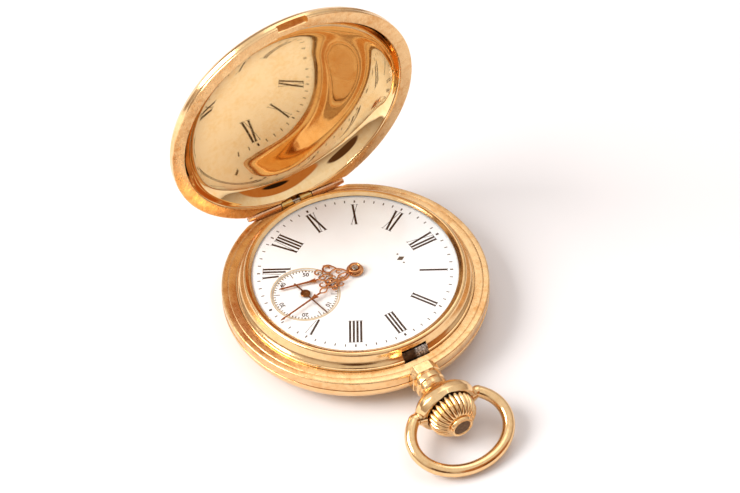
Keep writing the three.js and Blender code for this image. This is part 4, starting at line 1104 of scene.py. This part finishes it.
# steel arbors of the brass wheels: the joint they turn on and their hub's radius
ARBORS = {
    "centre_wheel": ("minute_turn", 1.5),
    "third_wheel": ("third_turn", 0.95),
    "fourth_wheel": ("seconds_turn", 0.85),
    "escape_wheel": ("escape_turn", 0.66),
}
BROKEN_EDGE = 0.04


def refined(node, material, slot):
    """The CAD piece's own shape with its flats merged and its edges broken; arbors are steel."""
    source = frame["nodes"][node]
    mesh = source.data.copy()
    mesh.materials.clear()
    shape = bmesh.new()
    shape.from_mesh(mesh)
    bmesh.ops.remove_doubles(shape, verts=shape.verts, dist=MERGE)
    bmesh.ops.dissolve_limit(shape, angle_limit=1 * RAD, verts=shape.verts, edges=shape.edges)
    bmesh.ops.recalc_face_normals(shape, faces=shape.faces)
    shape.to_mesh(mesh)
    shape.free()
    materials, pick = [material], None
    if node in ARBORS:
        turn, hub = ARBORS[node]
        axis = joint_place(turn).xy
        materials.append(steel)

        def pick(centre, normal):
            return 1 if (centre.xy - axis).length < hub else 0

    piece = finished(f"{node}_fine", mesh, materials, [node], source["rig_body"], slot, pick=pick)
    edge = piece.modifiers.new("broken_edges", "BEVEL")
    edge.width = BROKEN_EDGE * MM
    edge.segments = 2
    edge.limit_method = "ANGLE"
    edge.angle_limit = 40 * RAD
    edge.use_clamp_overlap = True


SLOT_MATERIALS = {
    "steel": steel, "blued_steel": blue_steel, "brass_gilt": brass, "nickel_plate": nickel,
    "worn_steel": old_steel, "gold_case": bright_gold,
}


def kept_pieces():
    """Everything no piece above stands for: movement, pins, springs and sleeve."""
    slots = {s["node"]: s["material_slot"] for s in frame["record"]["subparts"]}
    for node, source in frame["nodes"].items():
        if not source.hide_render:
            refined(node, SLOT_MATERIALS[slots[node]], slots[node])


# ---- studio

CAMERA_AT = Vector((0.25619, -0.13371, 0.33312))
CAMERA_AZIMUTH = 61.838 * RAD
CAMERA_ELEVATION = 47.568 * RAD
CAMERA_ROLL = -1.814 * RAD
CAMERA_LENS = 109.3
SENSOR_WIDTH = 36
AIM = Vector((0.004, 0.004, 0.012))
FLOOR_HALF = 4.0
FLOOR_GAP = 0.00005           # metres of air under the back cover
SPOT_BLUR = 3                 # degrees over which a dark spot's edge fades
ROOM_STRENGTH = 0.9
# dark places in the room: bearing from the camera's, elevation and half width in degrees, and colour
DARK_SPOTS = (
    (0, 20, 13, (0.10, 0.045, 0.02)),
    (55, 16, 26, (0.50, 0.20, 0.06)),
    (55, 12, 7, (0.02, 0.01, 0.005)),
)


def bearing(azimuth, elevation):
    """Unit vector at an angle round from -Y and one above the floor."""
    return Vector((sin(azimuth) * cos(elevation), -cos(azimuth) * cos(elevation),
                   sin(elevation)))


def camera():
    """Three-quarter view from above on the crown's side."""
    roll = CAMERA_ROLL
    back = bearing(CAMERA_AZIMUTH, CAMERA_ELEVATION)
    right = Vector((cos(CAMERA_AZIMUTH), sin(CAMERA_AZIMUTH), 0))
    up = back.cross(right)
    across = right * cos(roll) + up * sin(roll)
    upward = -right * sin(roll) + up * cos(roll)
    data = bpy.data.cameras.new("camera")
    data.lens = CAMERA_LENS
    data.sensor_width = SENSOR_WIDTH
    data.clip_start = 0.01
    data.clip_end = 50
    turn = Matrix((across, upward, back)).transposed().to_4x4()
    bpy.context.scene.camera = linked("camera", data, Matrix.Translation(CAMERA_AT) @ turn)


def floor():
    """Sheet of pale paper."""
    made = Shader("floor_paper", Roughness=0.7)
    grain = made.noise(0.02, 3)
    made.wear(made.mix(grain, (0.80, 0.785, 0.79), (0.82, 0.805, 0.81)))
    plane = bpy.data.meshes.new("floor")
    corners = [(x * FLOOR_HALF, y * FLOOR_HALF, 0) for x, y in ((-1, -1), (1, -1), (1, 1), (-1, 1))]
    plane.from_pydata(corners, [], [(0, 1, 2, 3)])
    plane.materials.append(made.material)
    made_floor = linked("floor", plane)
    made_floor.location.z = -FLOOR_GAP


def soft_light(name, azimuth, elevation, distance, size, power, colour):
    """Square softbox that looks at the watch from a bearing round the camera's."""
    back = bearing(CAMERA_AZIMUTH + azimuth * RAD, elevation * RAD)
    data = bpy.data.lights.new(name, "AREA")
    data.shape = "SQUARE"
    data.size = size
    data.energy = power
    data.color = colour
    light = linked(name, data)
    light.location = AIM + back * distance
    light.rotation_mode = "QUATERNION"
    light.rotation_quaternion = back.to_track_quat("Z", "Y")


def world():
    """Pale room that darkens towards the horizon, with dark spots that the polished gold reflects."""
    made = bpy.data.worlds.new("studio")
    made.use_nodes = True
    tree = made.node_tree
    direction = add_node(tree, "TexCoord").outputs["Generated"]
    height = add_node(tree, "SeparateXYZ", {0: direction}).outputs["Z"]
    ramp = add_node(tree, "ValToRGB", {0: height})
    stops = ramp.color_ramp.elements
    stops[0].position, stops[0].color = 0.0, (0.36, 0.27, 0.21, 1)
    stops[1].position, stops[1].color = 0.8, (1.0, 0.97, 0.96, 1)
    middle = stops.new(0.35)
    middle.color = (0.72, 0.65, 0.61, 1)
    colour = ramp.outputs[0]
    for offset, elevation, spread, shade in DARK_SPOTS:
        spot = bearing(CAMERA_AZIMUTH + offset * RAD, elevation * RAD)
        facing = add_node(tree, "VectorMath", {0: direction, 1: spot}, operation="DOT_PRODUCT")
        reach = {"Value": facing.outputs["Value"], "From Min": cos((spread + SPOT_BLUR) * RAD),
                 "From Max": cos(spread * RAD)}
        share = add_node(tree, "MapRange", reach, interpolation_type="SMOOTHSTEP").outputs[0]
        colour = add_node(tree, "Mix", {0: share, 6: colour, 7: (*shade, 1)}, data_type="RGBA").outputs[2]
    background = tree.nodes["Background"]
    tree.links.new(colour, background.inputs["Color"])
    background.inputs["Strength"].default_value = ROOM_STRENGTH
    bpy.context.scene.world = made


def studio():
    """Camera, floor and lights: one large softbox at the left and a weak one behind."""
    camera()
    floor()
    soft_light("key_light", -80, 40, 0.8, 0.46, 7.0, (1.0, 0.985, 0.97))
    soft_light("back_light", 165, 66, 0.9, 0.5, 0.9, (1.0, 0.985, 0.98))
    world()
    settings = bpy.context.scene.view_settings
    settings.view_transform = "Standard"
    settings.look = "None"
    settings.exposure = 0.0


# ---- the whole watch

studio()
case_band()
bezel()
back_cover()
inner_cover()
catch()
front_lid()
lid_hinge()
pendant_neck()
bow()
crown()
dial()
numerals()
minute_track()
dial_ornament()
seconds_track()
hour_hand()
minute_hand()
seconds_hand()
crystal()
kept_pieces()
